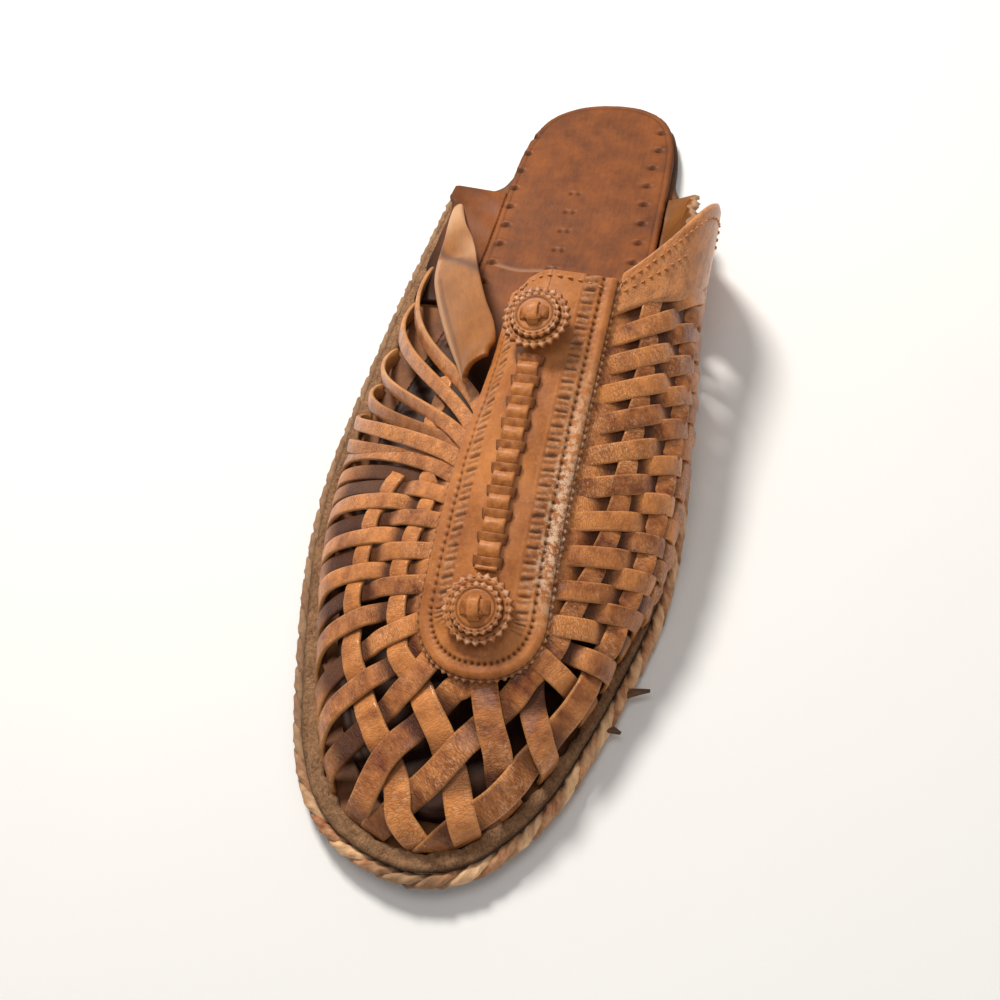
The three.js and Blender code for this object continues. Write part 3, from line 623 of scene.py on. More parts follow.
def footbed_leather():
    """Smooth sole leather, darker where a foot has lain, with fine scratches along it; painted shade
    darkens its slits, holes, edge groove, the part inside the vamp and the left ear.
    """
    f = Finish("footbed_leather")
    where = f.node("ShaderNodeMapping", {}, {"Vector": f.place(), "Scale": (1.0, 0.16, 1.0)})
    streaks = f.noise(900.0, 5.0, 0.7, where=where)
    broad = f.noise(0.035, 4.0, 0.6)
    patches = f.noise(0.14, 6.0, 0.65)
    mask = (broad * 0.9 + patches * 0.7 + streaks * 0.45 - 0.52).between(0.1, 0.9)
    colour = f.tones(mask, "#54270a", "#a0581f")
    scuffs = f.noise(0.9, 8.0, 0.8).between(0.60, 0.72) * patches.between(0.45, 0.6)
    colour = f.over(colour, scuffs * 0.55, "#c98f5e")
    specks = f.noise(0.55, 6.0, 0.75).between(0.66, 0.72)
    colour = f.over(colour, specks * 0.5, "#d3a274")
    colour = f.over(colour, f.mark("cut") * 0.7, "#c48f66")
    # painted shade: slits, holes, the groove by the edge, the part inside the vamp and the left ear; also
    # darker along the very edge
    colour = f.over(colour, f.mark("deep"), "#241006")
    rough = (0.38 + patches * 0.25 + f.mark("deep") * 0.3).held()
    height = streaks * 0.5 + f.noise(3.0, 5.0, 0.6) * 0.5 + f.cells(0.8).between(0.0, 0.08) * 0.2
    return f.leather(colour, rough, f.bump(height, 0.6, 0.18), coat=0.05, specular=0.22)


def sole_leather():
    """Stiff outsole leather: dark dressed edge, scuffed and dusty underneath."""
    f = Finish("sole_leather")
    patches = f.noise(0.10, 6.0, 0.65)
    colour = f.tones(patches.between(0.3, 0.7), "#5a3014", "#935a2c")
    dust = f.noise(0.5, 8.0, 0.75).between(0.5, 0.7)
    colour = f.over(colour, dust * 0.35, "#917457")
    colour = f.over(colour, f.mark("deep") * 0.85, "#2a180b")
    height = f.noise(1.2, 8.0, 0.7) + f.cells(0.4).between(0.0, 0.06) * 0.3
    return f.leather(colour, (0.6 + patches * 0.25).held(), f.bump(height, 0.5, 0.2))


def welt_suede():
    """Rough flesh side, brown with paler pulled fibres."""
    f = Finish("welt_suede")
    fibres = f.noise(1.0, 9.0, 0.82, distortion=0.8)
    broad = f.noise(0.12, 4.0)
    mask = (fibres * 1.5 + broad * 0.5 - 0.62).between(0.1, 0.75)
    colour = f.tones(mask, "#4c2b17", "#e0ab7c")
    flecks = f.noise(1.9, 7.0, 0.8).between(0.57, 0.65)
    colour = f.over(colour, flecks * 0.5, "#dcb48e")
    # painted shade low on the welt and next to the braid
    colour = f.over(colour, f.mark("deep") * 0.75, "#1d0f07")
    height = fibres + f.noise(0.7, 7.0, 0.75) * 1.2
    return f.leather(colour, (0.80 + fibres * 0.12).held(), f.bump(height, 1.0, 0.6), specular=0.25)


def braid_leather():
    """Twisted thong: orange tan at the right and toe, grey brown and grimy along the left."""
    f = Finish("braid_leather")
    along, across, shade = f.mark("along"), f.mark("across"), f.mark("tone")
    lay = f.lay(along * 0.5, across * 1.3, shade * 23.0)
    mottle = f.noise(0.8, 6.0, 0.7, where=lay)
    mask = (mottle * 1.4 + shade * 0.35 + f.noise(0.06, 3.0) * 0.6 - 0.50).between(0.1, 0.8)
    colour = f.tones(mask, "#a95f33", "#fbcb98")
    grime = (f.mark("cut") * 0.95 + f.noise(0.25, 6.0, 0.75) * 0.9 - 0.46).held()
    colour = f.over(colour, grime * 0.85, "#87664a")
    # painted shade under each turn of the twist; the loose ends are also darkened through this mark
    colour = f.over(colour, f.mark("deep") * 0.85, "#2b150a")
    height = mottle * 0.8 + f.noise(2.0, 7.0, 0.75) * 0.8
    rough = (0.48 + mottle * 0.25 + grime * 0.2).held()
    return f.leather(colour, rough, f.bump(height, 0.8, 0.35), coat=0.05)


def lining_leather():
    """Unfinished leather with a soft upright grain, browner where it has been handled."""
    f = Finish("lining_leather")
    lay = f.lay(f.mark("along") * 0.10, f.mark("across") * 1.6, f.mark("tone") * 5.0)
    fibres = f.noise(1.0, 8.0, 0.75, where=lay)
    broad = f.noise(0.06, 5.0, 0.65)
    mask = (fibres * 0.9 + broad * 1.2 - 0.6).between(0.1, 0.85)
    colour = f.tones(mask, "#80460f", "#b8752f")
    # pale: the right ear's cut edge, and the strap's painted highlight
    colour = f.over(colour, f.mark("cut") * 0.6, "#eebc8c")
    # painted shade on the strap's crease and on the right ear
    colour = f.over(colour, f.mark("deep") * 0.9, "#3a1d0c")
    height = fibres * 0.8 + f.noise(2.0, 6.0, 0.7) * 0.5
    rough = (0.42 + broad * 0.2).held()
    return f.leather(colour, rough, f.bump(height, 0.6, 0.25), coat=0.12, specular=0.3)


def thong_leather():
    """Burnished thong for the ladder and the knots."""
    f = Finish("thong_leather")
    mottle = f.noise(0.5, 6.0, 0.7)
    mask = (mottle + f.mark("tone") * 0.12).between(0.32, 0.68)
    colour = f.tones(mask, "#8c4817", "#d28440")
    colour = f.over(colour, f.mark("cut") * 0.5, "#a9744a")
    # painted shade where the ladder thong passes under the bars, towards the bars' ends and where the
    # knot straps dive down
    colour = f.over(colour, f.mark("deep") * 0.9, "#2d1307")
    rough = (0.30 + f.noise(1.2, 5.0) * 0.34).held()
    height = mottle + f.noise(2.0, 7.0, 0.75) * 0.8
    return f.leather(colour, rough, f.bump(height, 0.6, 0.25), coat=0.15, specular=0.3)


def stitch_thread():
    """Twisted leather cord and thread, tan and rubbed pale in places."""
    f = Finish("stitch_thread")
    twist = f.noise(1.2, 6.0, 0.75)
    worn = f.mark("cut") + twist * 0.8 - 0.4
    colour = f.tones(twist.between(0.35, 0.65), "#b0682c", "#e59a52")
    colour = f.over(colour, worn, "#f0d4b4")
    colour = f.over(colour, f.mark("deep") * 0.8, "#4a2511")
    return f.leather(colour, (0.45 + twist * 0.25).held(), f.bump(twist, 0.6, 0.15))


def pale_floor():
    """A plain pale floor, a little cloudy."""
    f = Finish("pale_floor")
    broad = f.noise(0.004, 3.0)
    colour = f.tones(broad, "#f3f2f0", "#fbfaf8")
    return f.leather(colour, 0.85, f.bump(f.noise(0.3, 4.0), 0.1, 0.1), specular=0.1)


# ------------------------------------------------------------------ the weave
STRIP_THICK = 1.1
SLACK_THICK = 1.3
SLACK_WIDTH = 4.1
WEAVE_MIDDLE = -1.15      # the weave's middle under the vamp's outer surface
WEFT_SWING = 0.80         # how far a cross strip goes over and under
WARP_SWING = 0.50
UNDER_PANEL = -0.80       # where a strip's end lies under the panel
SLACK_FROM = -15          # this strip and those behind it hang slack
STEEP_SLACK = -17         # this one and those behind it turn most on edge
REAR_SLACK = -20          # this one bows out furthest
PATH_STEP = 0.85          # between the points of a strip's path
OUTER_TURN = 24.0         # the outer long strip on the right turns its face out, in degrees

# Cross strips counted back from the toe, and where each meets the panel and the sole
LEFT_WEFTS = Table("number at_panel at_foot", [
    (-20, -0.700, -0.755), (-19, -0.650, -0.685), (-18, -0.612, -0.620), (-17, -0.588, -0.575),
    (-16, -0.567, -0.535), (-15, -0.547, -0.495), (-14, -0.527, -0.450), (-13, -0.503, -0.412),
    (-12, -0.478, -0.380), (-11, -0.450, -0.345), (-10, -0.420, -0.312), (-9, -0.386, -0.280),
    (-8, -0.352, -0.250), (-7, -0.316, -0.220), (-6, -0.280, -0.190), (-5, -0.240, -0.160),
    (-4, -0.200, -0.130), (-3, -0.160, -0.105), (-2, -0.110, -0.085)])
RIGHT_WEFTS = Table("number at_panel at_foot", [
    (-24, 0.915, 0.84), (-20, 0.772, 0.705), (-12, 0.487, 0.44), (-7, 0.308, 0.275),
    (-4, 0.200, 0.185), (-3, 0.165, 0.155)])
TOE_WEFTS = {
    "left": (-1, [(0.0, 1.15), (-0.008, 1.0), (-0.03, 0.96), (-0.045, 0.88), (-0.055, 0.77),
                  (-0.06, 0.68), (-0.06, 0.57), (-0.055, 0.46), (-0.05, 0.32), (-0.048, 0.0)]),
    "right": (-1, [(0.03, 1.2), (0.033, 1.0), (0.037, 0.93), (0.045, 0.83), (0.055, 0.71),
                   (0.06, 0.56), (0.07, 0.30), (0.078, 0.0)]),
    "right_second": (-2, [(0.145, 1.2), (0.14, 1.0), (0.12, 0.91), (0.11, 0.80), (0.105, 0.56),
                          (0.11, 0.11), (0.11, 0.0)]),
}
# Long strips: each runs forward along one side, crosses the toe and ends at the other side's rim
LONG_STRIPS = {
    "left_inner": [(-0.66, 0.70), (-0.59, 0.73), (-0.53, 0.80), (-0.485, 0.83), (-0.45, 0.87),
                   (-0.375, 0.84), (-0.30, 0.81), (-0.235, 0.84), (-0.165, 0.86), (-0.13, 0.89),
                   (-0.09, 0.89), (-0.055, 0.85), (-0.025, 0.78), (-0.005, 0.69), (0.01, 0.61),
                   (0.02, 0.52), (0.03, 0.38), (0.04, 0.16), (0.043, 0.0)],
    "left_outer": [(-0.47, 0.66), (-0.43, 0.63), (-0.38, 0.59), (-0.305, 0.58), (-0.23, 0.56),
                   (-0.18, 0.58), (-0.125, 0.62), (-0.10, 0.63), (-0.07, 0.60), (-0.045, 0.54),
                   (-0.03, 0.46), (-0.02, 0.35), (-0.005, 0.24), (0.01, 0.04), (0.012, 0.0)],
    "right_inner": [(0.95, 0.86), (0.90, 0.86), (0.805, 0.82), (0.60, 0.81), (0.455, 0.80),
                    (0.39, 0.82), (0.325, 0.85), (0.22, 0.93), (0.13, 0.97), (0.09, 0.93),
                    (0.045, 0.86), (0.015, 0.76), (0.0, 0.65), (-0.01, 0.56), (-0.02, 0.46),
                    (-0.025, 0.36), (-0.03, 0.22), (-0.035, 0.0)],
    "right_outer": [(0.95, 0.55), (0.30, 0.55), (0.22, 0.54), (0.15, 0.55), (0.11, 0.53),
                    (0.09, 0.51), (0.075, 0.46), (0.06, 0.40), (0.045, 0.35), (0.03, 0.26),
                    (0.015, 0.08), (0.010, 0.0)],
    "right_lower": [(0.95, 0.30), (0.45, 0.28), (0.34, 0.22), (0.24, 0.0)],
}


def soft_line(rows, steps):
    """An even smooth line through a few (w, up) rows."""
    rows = np.array(rows, float)
    run = np.concatenate([[0], np.cumsum(np.hypot(2.0 * np.diff(rows[:, 0]), np.diff(rows[:, 1])))])
    w, up = Table("run w", np.c_[run, rows[:, 0]]), Table("run up", np.c_[run, rows[:, 1]])
    places = np.linspace(0, run[-1], steps)
    return np.c_[w.values("w", places), up.values("up", places)]


def weft_course(at_panel, at_foot):
    """A straight course from under the panel down to the sole."""
    ups = np.linspace(1.22, 0.0, 60)
    share = np.clip(ups, 0, 1)
    return np.c_[at_foot + (at_panel - at_foot) * share, ups]


class Strand:
    """One strip of the weave; number counts on from the toe, and says what it goes over."""

    def __init__(self, family, number, course, kind):
        self.family, self.number, self.course, self.kind = family, number, course, kind
        self.meetings = []


def crossing(a, b):
    """Where two courses cross, as places along each, or None."""
    if a[:, 0].max() < b[:, 0].min() or b[:, 0].max() < a[:, 0].min():
        return None
    p, r = a[:-1], np.diff(a, axis=0)
    q, s = b[:-1], np.diff(b, axis=0)
    flat = r[:, None, 0] * s[None, :, 1] - r[:, None, 1] * s[None, :, 0]
    flat = np.where(np.abs(flat) < 1e-12, 1e-12, flat)
    d = q[None] - p[:, None]
    t = (d[..., 0] * s[None, :, 1] - d[..., 1] * s[None, :, 0]) / flat
    u = (d[..., 0] * r[:, None, 1] - d[..., 1] * r[:, None, 0]) / flat
    hits = np.argwhere((t >= 0) & (t < 1) & (u >= 0) & (u < 1))
    if not len(hits):
        return None
    i, j = hits[0]
    return i + t[i, j], j + u[i, j]


def all_strands():
    """Every strip of the weave, in two families that cross; strips of one never cross each other."""
    leftward, rightward = [], []
    for number in range(-20, -1):
        kind = "slack" if number <= SLACK_FROM else "weft"
        places = (LEFT_WEFTS.value(name, number) for name in ("at_panel", "at_foot"))
        leftward.append(Strand("left", number, weft_course(*places), kind))
    for number in range(-24, -2):
        places = (RIGHT_WEFTS.value(name, number) for name in ("at_panel", "at_foot"))
        rightward.append(Strand("right", number, weft_course(*places), "weft"))
    for name, (number, rows) in TOE_WEFTS.items():
        strand = Strand(name.split("_")[0], number, soft_line(rows, 90), "weft")
        (leftward if name == "left" else rightward).append(strand)
    for number, name in enumerate(("right_inner", "right_outer", "right_lower")):
        leftward.append(Strand("left", number, soft_line(LONG_STRIPS[name], 190), "warp"))
    for number, name in enumerate(("left_inner", "left_outer")):
        rightward.append(Strand("right", number, soft_line(LONG_STRIPS[name], 190), "warp"))
    for a in leftward:
        for b in rightward:
            if a.kind == "slack" and b.number > 0:
                continue
            found = crossing(a.course, b.course)
            if found:
                over = 1 if (a.number + b.number) % 2 == 0 else -1
                a.meetings.append((found[0], over))
                b.meetings.append((found[1], -over))
    return leftward, rightward


def swings(strand, count):
    """Height of a strand along its course: over and under at each meeting, eased between them."""
    swing = WARP_SWING if strand.kind == "warp" else WEFT_SWING
    stops = [(place, sign * swing) for place, sign in sorted(strand.meetings)]
    first = UNDER_PANEL - WEAVE_MIDDLE - 0.15 if strand.kind != "warp" else 0.0
    stops = [(0.0, first)] + [s for s in stops if 2 < s[0] < count - 3] + [(count - 1.0, -0.1)]
    heights = np.zeros(count)
    for (a, low), (b, high) in zip(stops[:-1], stops[1:]):
        inside = np.arange(math.ceil(a), int(b) + 1)
        t = (inside - a) / (b - a)
        # a cross strip stays low for a while as it comes out from under the panel
        t = np.clip((t - 0.56) / 0.32 if a == 0 and strand.kind == "weft" else (t - 0.25) / 0.5, 0, 1)
        heights[inside] = low + (high - low) * (3 * t * t - 2 * t ** 3)
    return heights


def laid(strand, spread=0.0):
    """A strand's path, normals, painted shade where it dips under others, and course, an even step apart.
    """
    course = strand.course
    count = len(course)
    heights = swings(strand, count)
    points = np.array([vamp(*place) for place in course])
    normals = np.array([vamp_normal(*place) for place in course])
    swell = spread * np.sin(np.pi * np.clip(course[:, 1], 0, 1)) if spread else 0.0
    points = points + normals * (WEAVE_MIDDLE + heights + swell)[:, None]
    # painted shade: darker the lower the strand dips under the strips it crosses
    deep = np.clip(-heights / 0.8, 0, 1)
    joined = even(np.c_[points, normals, deep, course], PATH_STEP)
    return joined[:, :3], unit(joined[:, 3:6]), joined[:, 6], joined[:, 7:]


def rolled(path, normals, angles):
    """Normals turned about the path by angles in degrees."""
    along = unit(np.gradient(path, axis=0))
    side = np.cross(along, normals)
    a = np.radians(angles)[:, None]
    return unit(normals * np.cos(a) + side * np.sin(a))


def strand_width(strand, course):
    """Cross strips are narrow along the sides; every strip is cut wider at the toe."""
    w, up = np.abs(course[:, 0]), np.clip(course[:, 1], 0, 1)
    toe = np.clip((0.24 - w) / 0.16, 0, 1)
    wave = 0.2 * np.sin(up * 5 + strand.number * 1.7)
    if strand.kind == "warp":
        return 5.3 + (1.9 if (strand.family, strand.number) == ("left", 1) else 1.3) * toe + wave
    if strand.family == "left":
        return 4.55 + 0.45 * np.clip((0.42 - w) / 0.2, 0, 1) + 1.5 * toe - 0.3 * up + wave
    return 5.25 + 1.4 * toe - 0.3 * up + wave


def lay_slack(piece, strand):
    """A strip that hangs slack behind the weave, bowed out and turned on edge."""
    hang = 0.030 * np.sin(np.pi * np.clip(strand.course[:, 1], 0, 1))
    strand.course[:, 0] += hang * (1.8 if strand.number <= REAR_SLACK else 1.0)
    path, normals, deep, course = laid(strand, spread=random.uniform(0.8, 2.6))
    up = np.clip(course[:, 1], 0, 1)
    turn = -random.uniform(30, 55) * np.sin(np.pi * np.clip(up * 1.08, 0, 1)) ** 0.7
    if strand.number > STEEP_SLACK:
        turn = turn * 0.45
    width = SLACK_WIDTH + 0.3 * np.sin(up * 6 + strand.number)
    strip(piece, path, rolled(path, normals, turn), width, SLACK_THICK, shade=0.1, deep=deep * 0.4)


def lay_woven(piece, strand):
    """A strip of the weave; each cross strip lies a little turned, no two alike."""
    path, normals, deep, course = laid(strand)
    if strand.kind == "weft":
        turn = random.normal(0, 3.0) + 4.0 * np.sin(course[:, 1] * 7 + strand.number * 2.3)
        normals = rolled(path, normals, turn)
    elif strand.family == "left" and strand.number > 0:
        normals = rolled(path, normals, OUTER_TURN * np.clip((course[:, 0] - 0.12) / 0.1, 0, 1))
    strip(piece, path, normals, strand_width(strand, course), STRIP_THICK,
          deep=np.minimum(deep * 1.15, 0.95))


def make_weave(finish):
    """All strips, in one piece for each group that lies together."""
    leftward, rightward = all_strands()
    names = ("cross_strips_left", "cross_strips_right", "slack_strips", "long_strips_left",
             "long_strips_right")
    pieces = {name: Piece() for name in names}
    for strand in leftward + rightward:
        if strand.kind == "slack":
            lay_slack(pieces["slack_strips"], strand)
        elif strand.kind == "weft":
            lay_woven(pieces["cross_strips_" + strand.family], strand)
        else:
            side = "right" if strand.family == "left" else "left"
            lay_woven(pieces["long_strips_" + side], strand)
    for name, piece in pieces.items():
        piece.make(name, finish, "strip_leather", "upper")


# ------------------------------------------------------------------ bands round the opening
def sheet_body(piece, points, normals, top, low, **marks):
    """A flat body over a grid of points, from the low to the top offset along the normals."""
    rows, columns = points.shape[:2]
    grid = np.concatenate([(points + normals * top).reshape(-1, 3),
                           (points + normals * low).reshape(-1, 3)])
    doubled = {name: np.concatenate([np.ravel(value)] * 2) for name, value in marks.items()}
    piece.body(grid, plate_faces(rows, columns), **doubled)


EDGE_DROP = 0.5          # a band's surface falls this much at its rounded edges
EDGE_SHARE = 0.12


def edge_round(columns):
    """Places across a band from -1 to 1, and the drop of its surface close to its two edges."""
    u = np.linspace(-1, 1, columns)
    near = np.clip((np.abs(u) - (1 - EDGE_SHARE)) / EDGE_SHARE, 0, 1)
    return u, EDGE_DROP * near ** 2


STITCH_STEP = 0.2
STITCH_SIDES = 6


def stitches(piece, path, normals, length, gap, radius, wobble=0.0):
    """Short rounded stitches along a path."""
    joined = even(np.c_[path, normals], STITCH_STEP)
    path, normals = joined[:, :3], unit(joined[:, 3:])
    span, pitch = int(length / STITCH_STEP), int((length + gap) / STITCH_STEP)
    angles = np.linspace(0, 2 * np.pi, STITCH_SIDES, endpoint=False)
    for start in range(0, len(path) - span, pitch):
        part = path[start:start + span + 1:2].copy()
        up = normals[start:start + span + 1:2]
        t = np.linspace(0, 1, len(part))
        part = part + up * (radius * 1.3 * np.sin(np.pi * t) - radius * 0.5)[:, None]
        side = unit(np.cross(unit(np.gradient(part, axis=0)), up))
        part = part + side * (random.normal(0, wobble) if wobble else 0.0)
        girth = radius * np.sqrt(np.clip(1 - (2 * t - 1) ** 4, 0.08, 1))
        ring = side[:, None] * np.cos(angles)[None, :, None] + up[:, None] * np.sin(angles)[None, :, None]
        points = part[:, None] + ring * girth[:, None, None]
        piece.body(points, tube_faces(len(part), STITCH_SIDES), tone=random.uniform(-1, 1))


def beyond(w, up):
    """A place on the vamp, or carried straight on past its rear edge on the right."""
    if w <= 1:
        return vamp(w, up)
    last = vamp(1.0, up)
    return last + (last - vamp(0.98, up)) * ((w - 1.0) / 0.02)


def band_top(up):
    """The band's upper edge stands above the weave's own end between the panel and the side."""
    return 1.0 + 0.040 * smooth(up, 0.45, 0.95) + 0.055 * float(bell(up - 0.68, 0.45))


# The strap's two edges from the rim at the left ear to the panel
STRAP_EDGES = Table("step low_heel low_across low_height high_heel high_across high_height", [
    (0, 52.0, -44.6, 6.8, 53.0, -43.4, 7.0),
    (1, 61.6, -44.0, 9.0, 67.8, -37.3, 12.0),
    (2, 75.7, -42.3, 11.0, 81.7, -29.9, 18.0),
    (3, 88.7, -40.2, 14.0, 97.0, -23.7, 25.0),
    (4, 101.2, -37.0, 18.0, 112.0, -17.5, 32.0),
    (5, 112.3, -32.6, 22.0, 125.6, -11.4, 38.0),
    (6, 128.0, -25.2, 29.0, 137.1, -5.7, 43.0),
    (7, 142.1, -17.7, 36.0, 145.8, -2.6, 46.0),
    (8, 150.6, -12.8, 39.4, 149.6, -3.0, 46.6),
    (9, 158.0, -8.6, 41.4, 152.0, -3.0, 46.8)])


def strap_grid(rows, columns):
    """Points and normals of the strap, bowed between its edges and creased where it turns."""
    points = []
    for step in np.linspace(0, 9, rows):
        low = at(*(STRAP_EDGES.value("low_" + n, step) for n in ("heel", "across", "height")))
        high = at(*(STRAP_EDGES.value("high_" + n, step) for n in ("heel", "across", "height")))
        out = unit(np.cross(high - low, [0.3, -1.0, 0.55]))
        out = out if out[2] > 0 else -out
        bow = 1.5 * smooth(step, 2.9, 5.0) + 1.1 * smooth(2.6 - step, 0.0, 1.5) * smooth(step, 0, 1)
        crease = -1.5 * float(bell(step - 2.75, 0.6))
        row = []
        for u in np.linspace(-1, 1, columns):
            ripple = 0.25 * math.sin(step * 2.3 + u * 2.0)
            t = (u + 1) / 2
            row.append(mix(low, high, t) + out * ((bow + crease) * (1 - u * u) + ripple * (1 - u ** 4)))
        points.append(row)
    points = np.array(points)
    normals = unit(np.cross(np.gradient(points, axis=1), np.gradient(points, axis=0)))
    return points, np.where(normals[..., 2:] < 0, -normals, normals)


BAND_TOP, BAND_LOW = 0.25, -1.3          # the band's faces from the vamp's outer surface
STRAP_TOP, STRAP_LOW = 0.6, -0.7


def band_low(up):
    """The band's lower edge, wider towards the side."""
    return mix(0.938, 0.882, smooth(1 - up, 0.0, 0.40))


def make_band(finish):
    """The wide band that edges the opening on the right."""
    ups = np.linspace(1.06, 0.0, 64)
    columns = 20
    points, normals = [], []
    for up in ups:
        row = np.linspace(band_top(min(up, 1)), band_low(up), columns)
        points.append([beyond(w, min(up, 1.0)) if w > 1 else vamp(w, up) for w in row])
        normals.append([vamp_normal(min(w, 0.99), min(up, 1.0)) for w in row])
    points, normals = np.array(points), np.array(normals)
    u, drop = edge_round(columns)
    top = np.tile((BAND_TOP - drop)[None, :, None], (len(ups), 1, 1))
    band = Piece()
    sheet_body(band, points, normals, top, BAND_LOW, across=np.tile(u * 5.5, (len(ups), 1)),
               along=np.tile(run_along(points[:, 6])[:, None], (1, columns)),
               cut=np.tile((drop > 0.3) * 0.5, (len(ups), 1)), tone=np.full(points.shape[:2], 0.5))
    band.make("collar_band_leather", finish, "strip_leather", "collar_band")


def make_band_stitching(thread):
    """Two rows: one along the band's upper edge that turns down, one beside it near the panel."""
    line = [(band_top(up) - 0.030, up) for up in np.linspace(1.0, 0.42, 60)]
    line += [(band_top(0.42) - 0.030 - k, 0.42 - 0.25 * k) for k in np.linspace(0.004, 0.05, 14)]
    second = [(0.995, up) for up in np.linspace(0.99, 0.76, 24)]
    seam = Piece()
    for row, radius, furthest in ((line, 0.26, 0.99), (second, 0.24, 0.995)):
        normals = [vamp_normal(min(w, furthest), up) for w, up in row]
        path = [beyond(w, up) + 0.3 * normal for (w, up), normal in zip(row, normals)]
        stitches(seam, path, normals, 1.9, 1.0, radius)
    seam.make("collar_stitching", thread, "thong_leather")


def make_strap(lining):
    """The narrow strap that edges the opening on the left; its pointed end beyond a crease and its left
    edge are painted pale as a highlight, with a painted shadow across the crease.
    """
    rows, columns = 100, 20
    points, normals = strap_grid(rows, columns)
    u, drop = edge_round(columns)
    u = u[None]
    top = np.tile((STRAP_TOP - drop)[None, :, None], (rows, 1, 1))
    steps = np.linspace(0, 9, rows)[:, None]
    fold = steps - 0.5 * u
    # shadow is a painted shadow across the crease; groove is a dark line along the lower part
    shadow = 0.75 * bell(fold - 3.15, 0.42)
    groove = 0.8 * bell(u + 0.62, 0.10) * (steps > 4.2)
    # pale is a painted highlight: on the pointed end above the crease, and along the left edge
    pale = 1.1 * np.clip(2.9 - fold, 0, 1) * (0.55 + 0.45 * np.sin(steps * 2.2 + u))
    pale = pale + 0.5 * (u < -0.7) * (steps > 3)
    strap = Piece()
    sheet_body(strap, points, normals, top, STRAP_LOW, across=np.tile(u * 3, (rows, 1)),
               along=np.tile(run_along(points[:, 10])[:, None], (1, columns)),
               deep=np.clip(shadow + groove, 0, 1), cut=np.clip(pale, 0, 1),
               tone=np.full(points.shape[:2], 0.5))
    strap.make("collar_strap_leather", lining, "lining_leather", "collar_strap")


# ------------------------------------------------------------------ medallion panel
PANEL_LOW = 0.3
PANEL_HIGH = 1.8
PANEL_WIDE = 16.0        # edge to middle line, for places across the panel
TOOTH = 1.95             # pitch of the pinked edge
TOOTH_CUT = 0.75         # depth of its notches
BORDER_IN = 2.35         # crest of the raised border, this far in from the edge
DOTS_IN = 4.2            # row of punched dots inside the border
BARS_IN = 6.9            # middle of the column of small bars
BARS_HALF = 1.25
BAR_PITCH = 1.85
PANEL_ROWS, PANEL_COLUMNS = 681, 50
TOP_SKEW = np.array([0.0, 1.0, 0.16]) * 2.6      # the panel's top corner is drawn out to the heel


def panel_length():
    """Length of the panel's edge from its top to the toe, one side."""
    line = np.array([crest(*panel_place(w, 0)) for w in np.linspace(-1, 0, 300)])
    return np.linalg.norm(np.diff(line, axis=0), axis=1).sum()


def fine_grid(values, rows, columns):
    """A grid of points drawn finer, evenly between those it has."""
    j = np.linspace(0, values.shape[0] - 1, rows)
    i = np.linspace(0, values.shape[1] - 1, columns)
    j0 = np.minimum(j.astype(int), values.shape[0] - 2)
    i0 = np.minimum(i.astype(int), values.shape[1] - 2)
    a, b = (j - j0)[:, None, None], (i - i0)[None, :, None]
    v00, v01 = values[j0][:, i0], values[j0][:, i0 + 1]
    v10, v11 = values[j0 + 1][:, i0], values[j0 + 1][:, i0 + 1]
    return (v00 * (1 - b) + v01 * b) * (1 - a) + (v10 * (1 - b) + v11 * b) * a


def panel_tooling(along, depth):
    """Height, painted shade and wear of the tooled surface; along runs left to right round the toe."""
    notch = 1 - saw(along / TOOTH)
    crimps = 0.45 * bell(depth - 0.6, 0.8) * notch
    border = 0.35 * bell(depth - BORDER_IN, 1.3)
    dots = bell((along / TOOTH + 0.25) % 1.0 - 0.5, 0.34) * bell(depth - DOTS_IN, 0.70)
    groove = 0.22 * bell(depth - 0.95, 0.35) + 0.15 * bell(depth - DOTS_IN, 0.6) + 0.60 * dots
    band = np.clip((BARS_HALF + 0.35 - np.abs(depth - BARS_IN)) / 0.4, 0, 1)
    band = band * np.clip((np.abs(along) - 17) / 6, 0, 1)
    wander = 0.10 * np.sin(along * 0.83) + 0.08 * np.sin(along * 2.1 + 1.0)
    phase = (along / BAR_PITCH + wander + 0.12 * (depth - BARS_IN)) % 1.0 - 0.5
    slit = bell(phase, 0.34) * band * (0.75 + 0.25 * np.sin(along * 1.7))
    rim_line = 0.16 * (bell(depth - BARS_IN + 1.9, 0.35) + bell(depth - BARS_IN - 2.0, 0.35))
    swells = 0.12 * np.sin(along * 0.21 + depth * 0.5) + 0.08 * np.sin(along * 0.53 - depth * 0.9)

    height = PANEL_HIGH - 0.55 + 0.30 * np.clip((depth - 1.0) / 0.4, 0, 1)
    height = height - 0.55 * np.clip(1 - depth / 0.5, 0, 1) ** 2
    height = height + border - groove + 0.20 * band - 0.60 * slit + rim_line - crimps
    height = height + swells * np.clip(depth - 3, 0, 1)
    # deep is painted shade in the grooves, dots, bar slits and notches; also darker along the very edge
    deep = np.clip(groove * 1.5 + slit * 0.80 + crimps * 1.9, 0, 1)
    deep = deep + 0.4 * np.clip(1 - depth / 0.3, 0, 1)
    worn = np.clip((along - 20) / 18, 0, 1) * np.clip((94 - along) / 34, 0, 1)
    proud = 0.25 * band + 0.5 * bell(depth - 0.3, 0.6)
    proud = np.clip(proud + worn * np.clip((6.4 - depth) / 2.0, 0, 1), 0, 1)
    return height, deep, proud


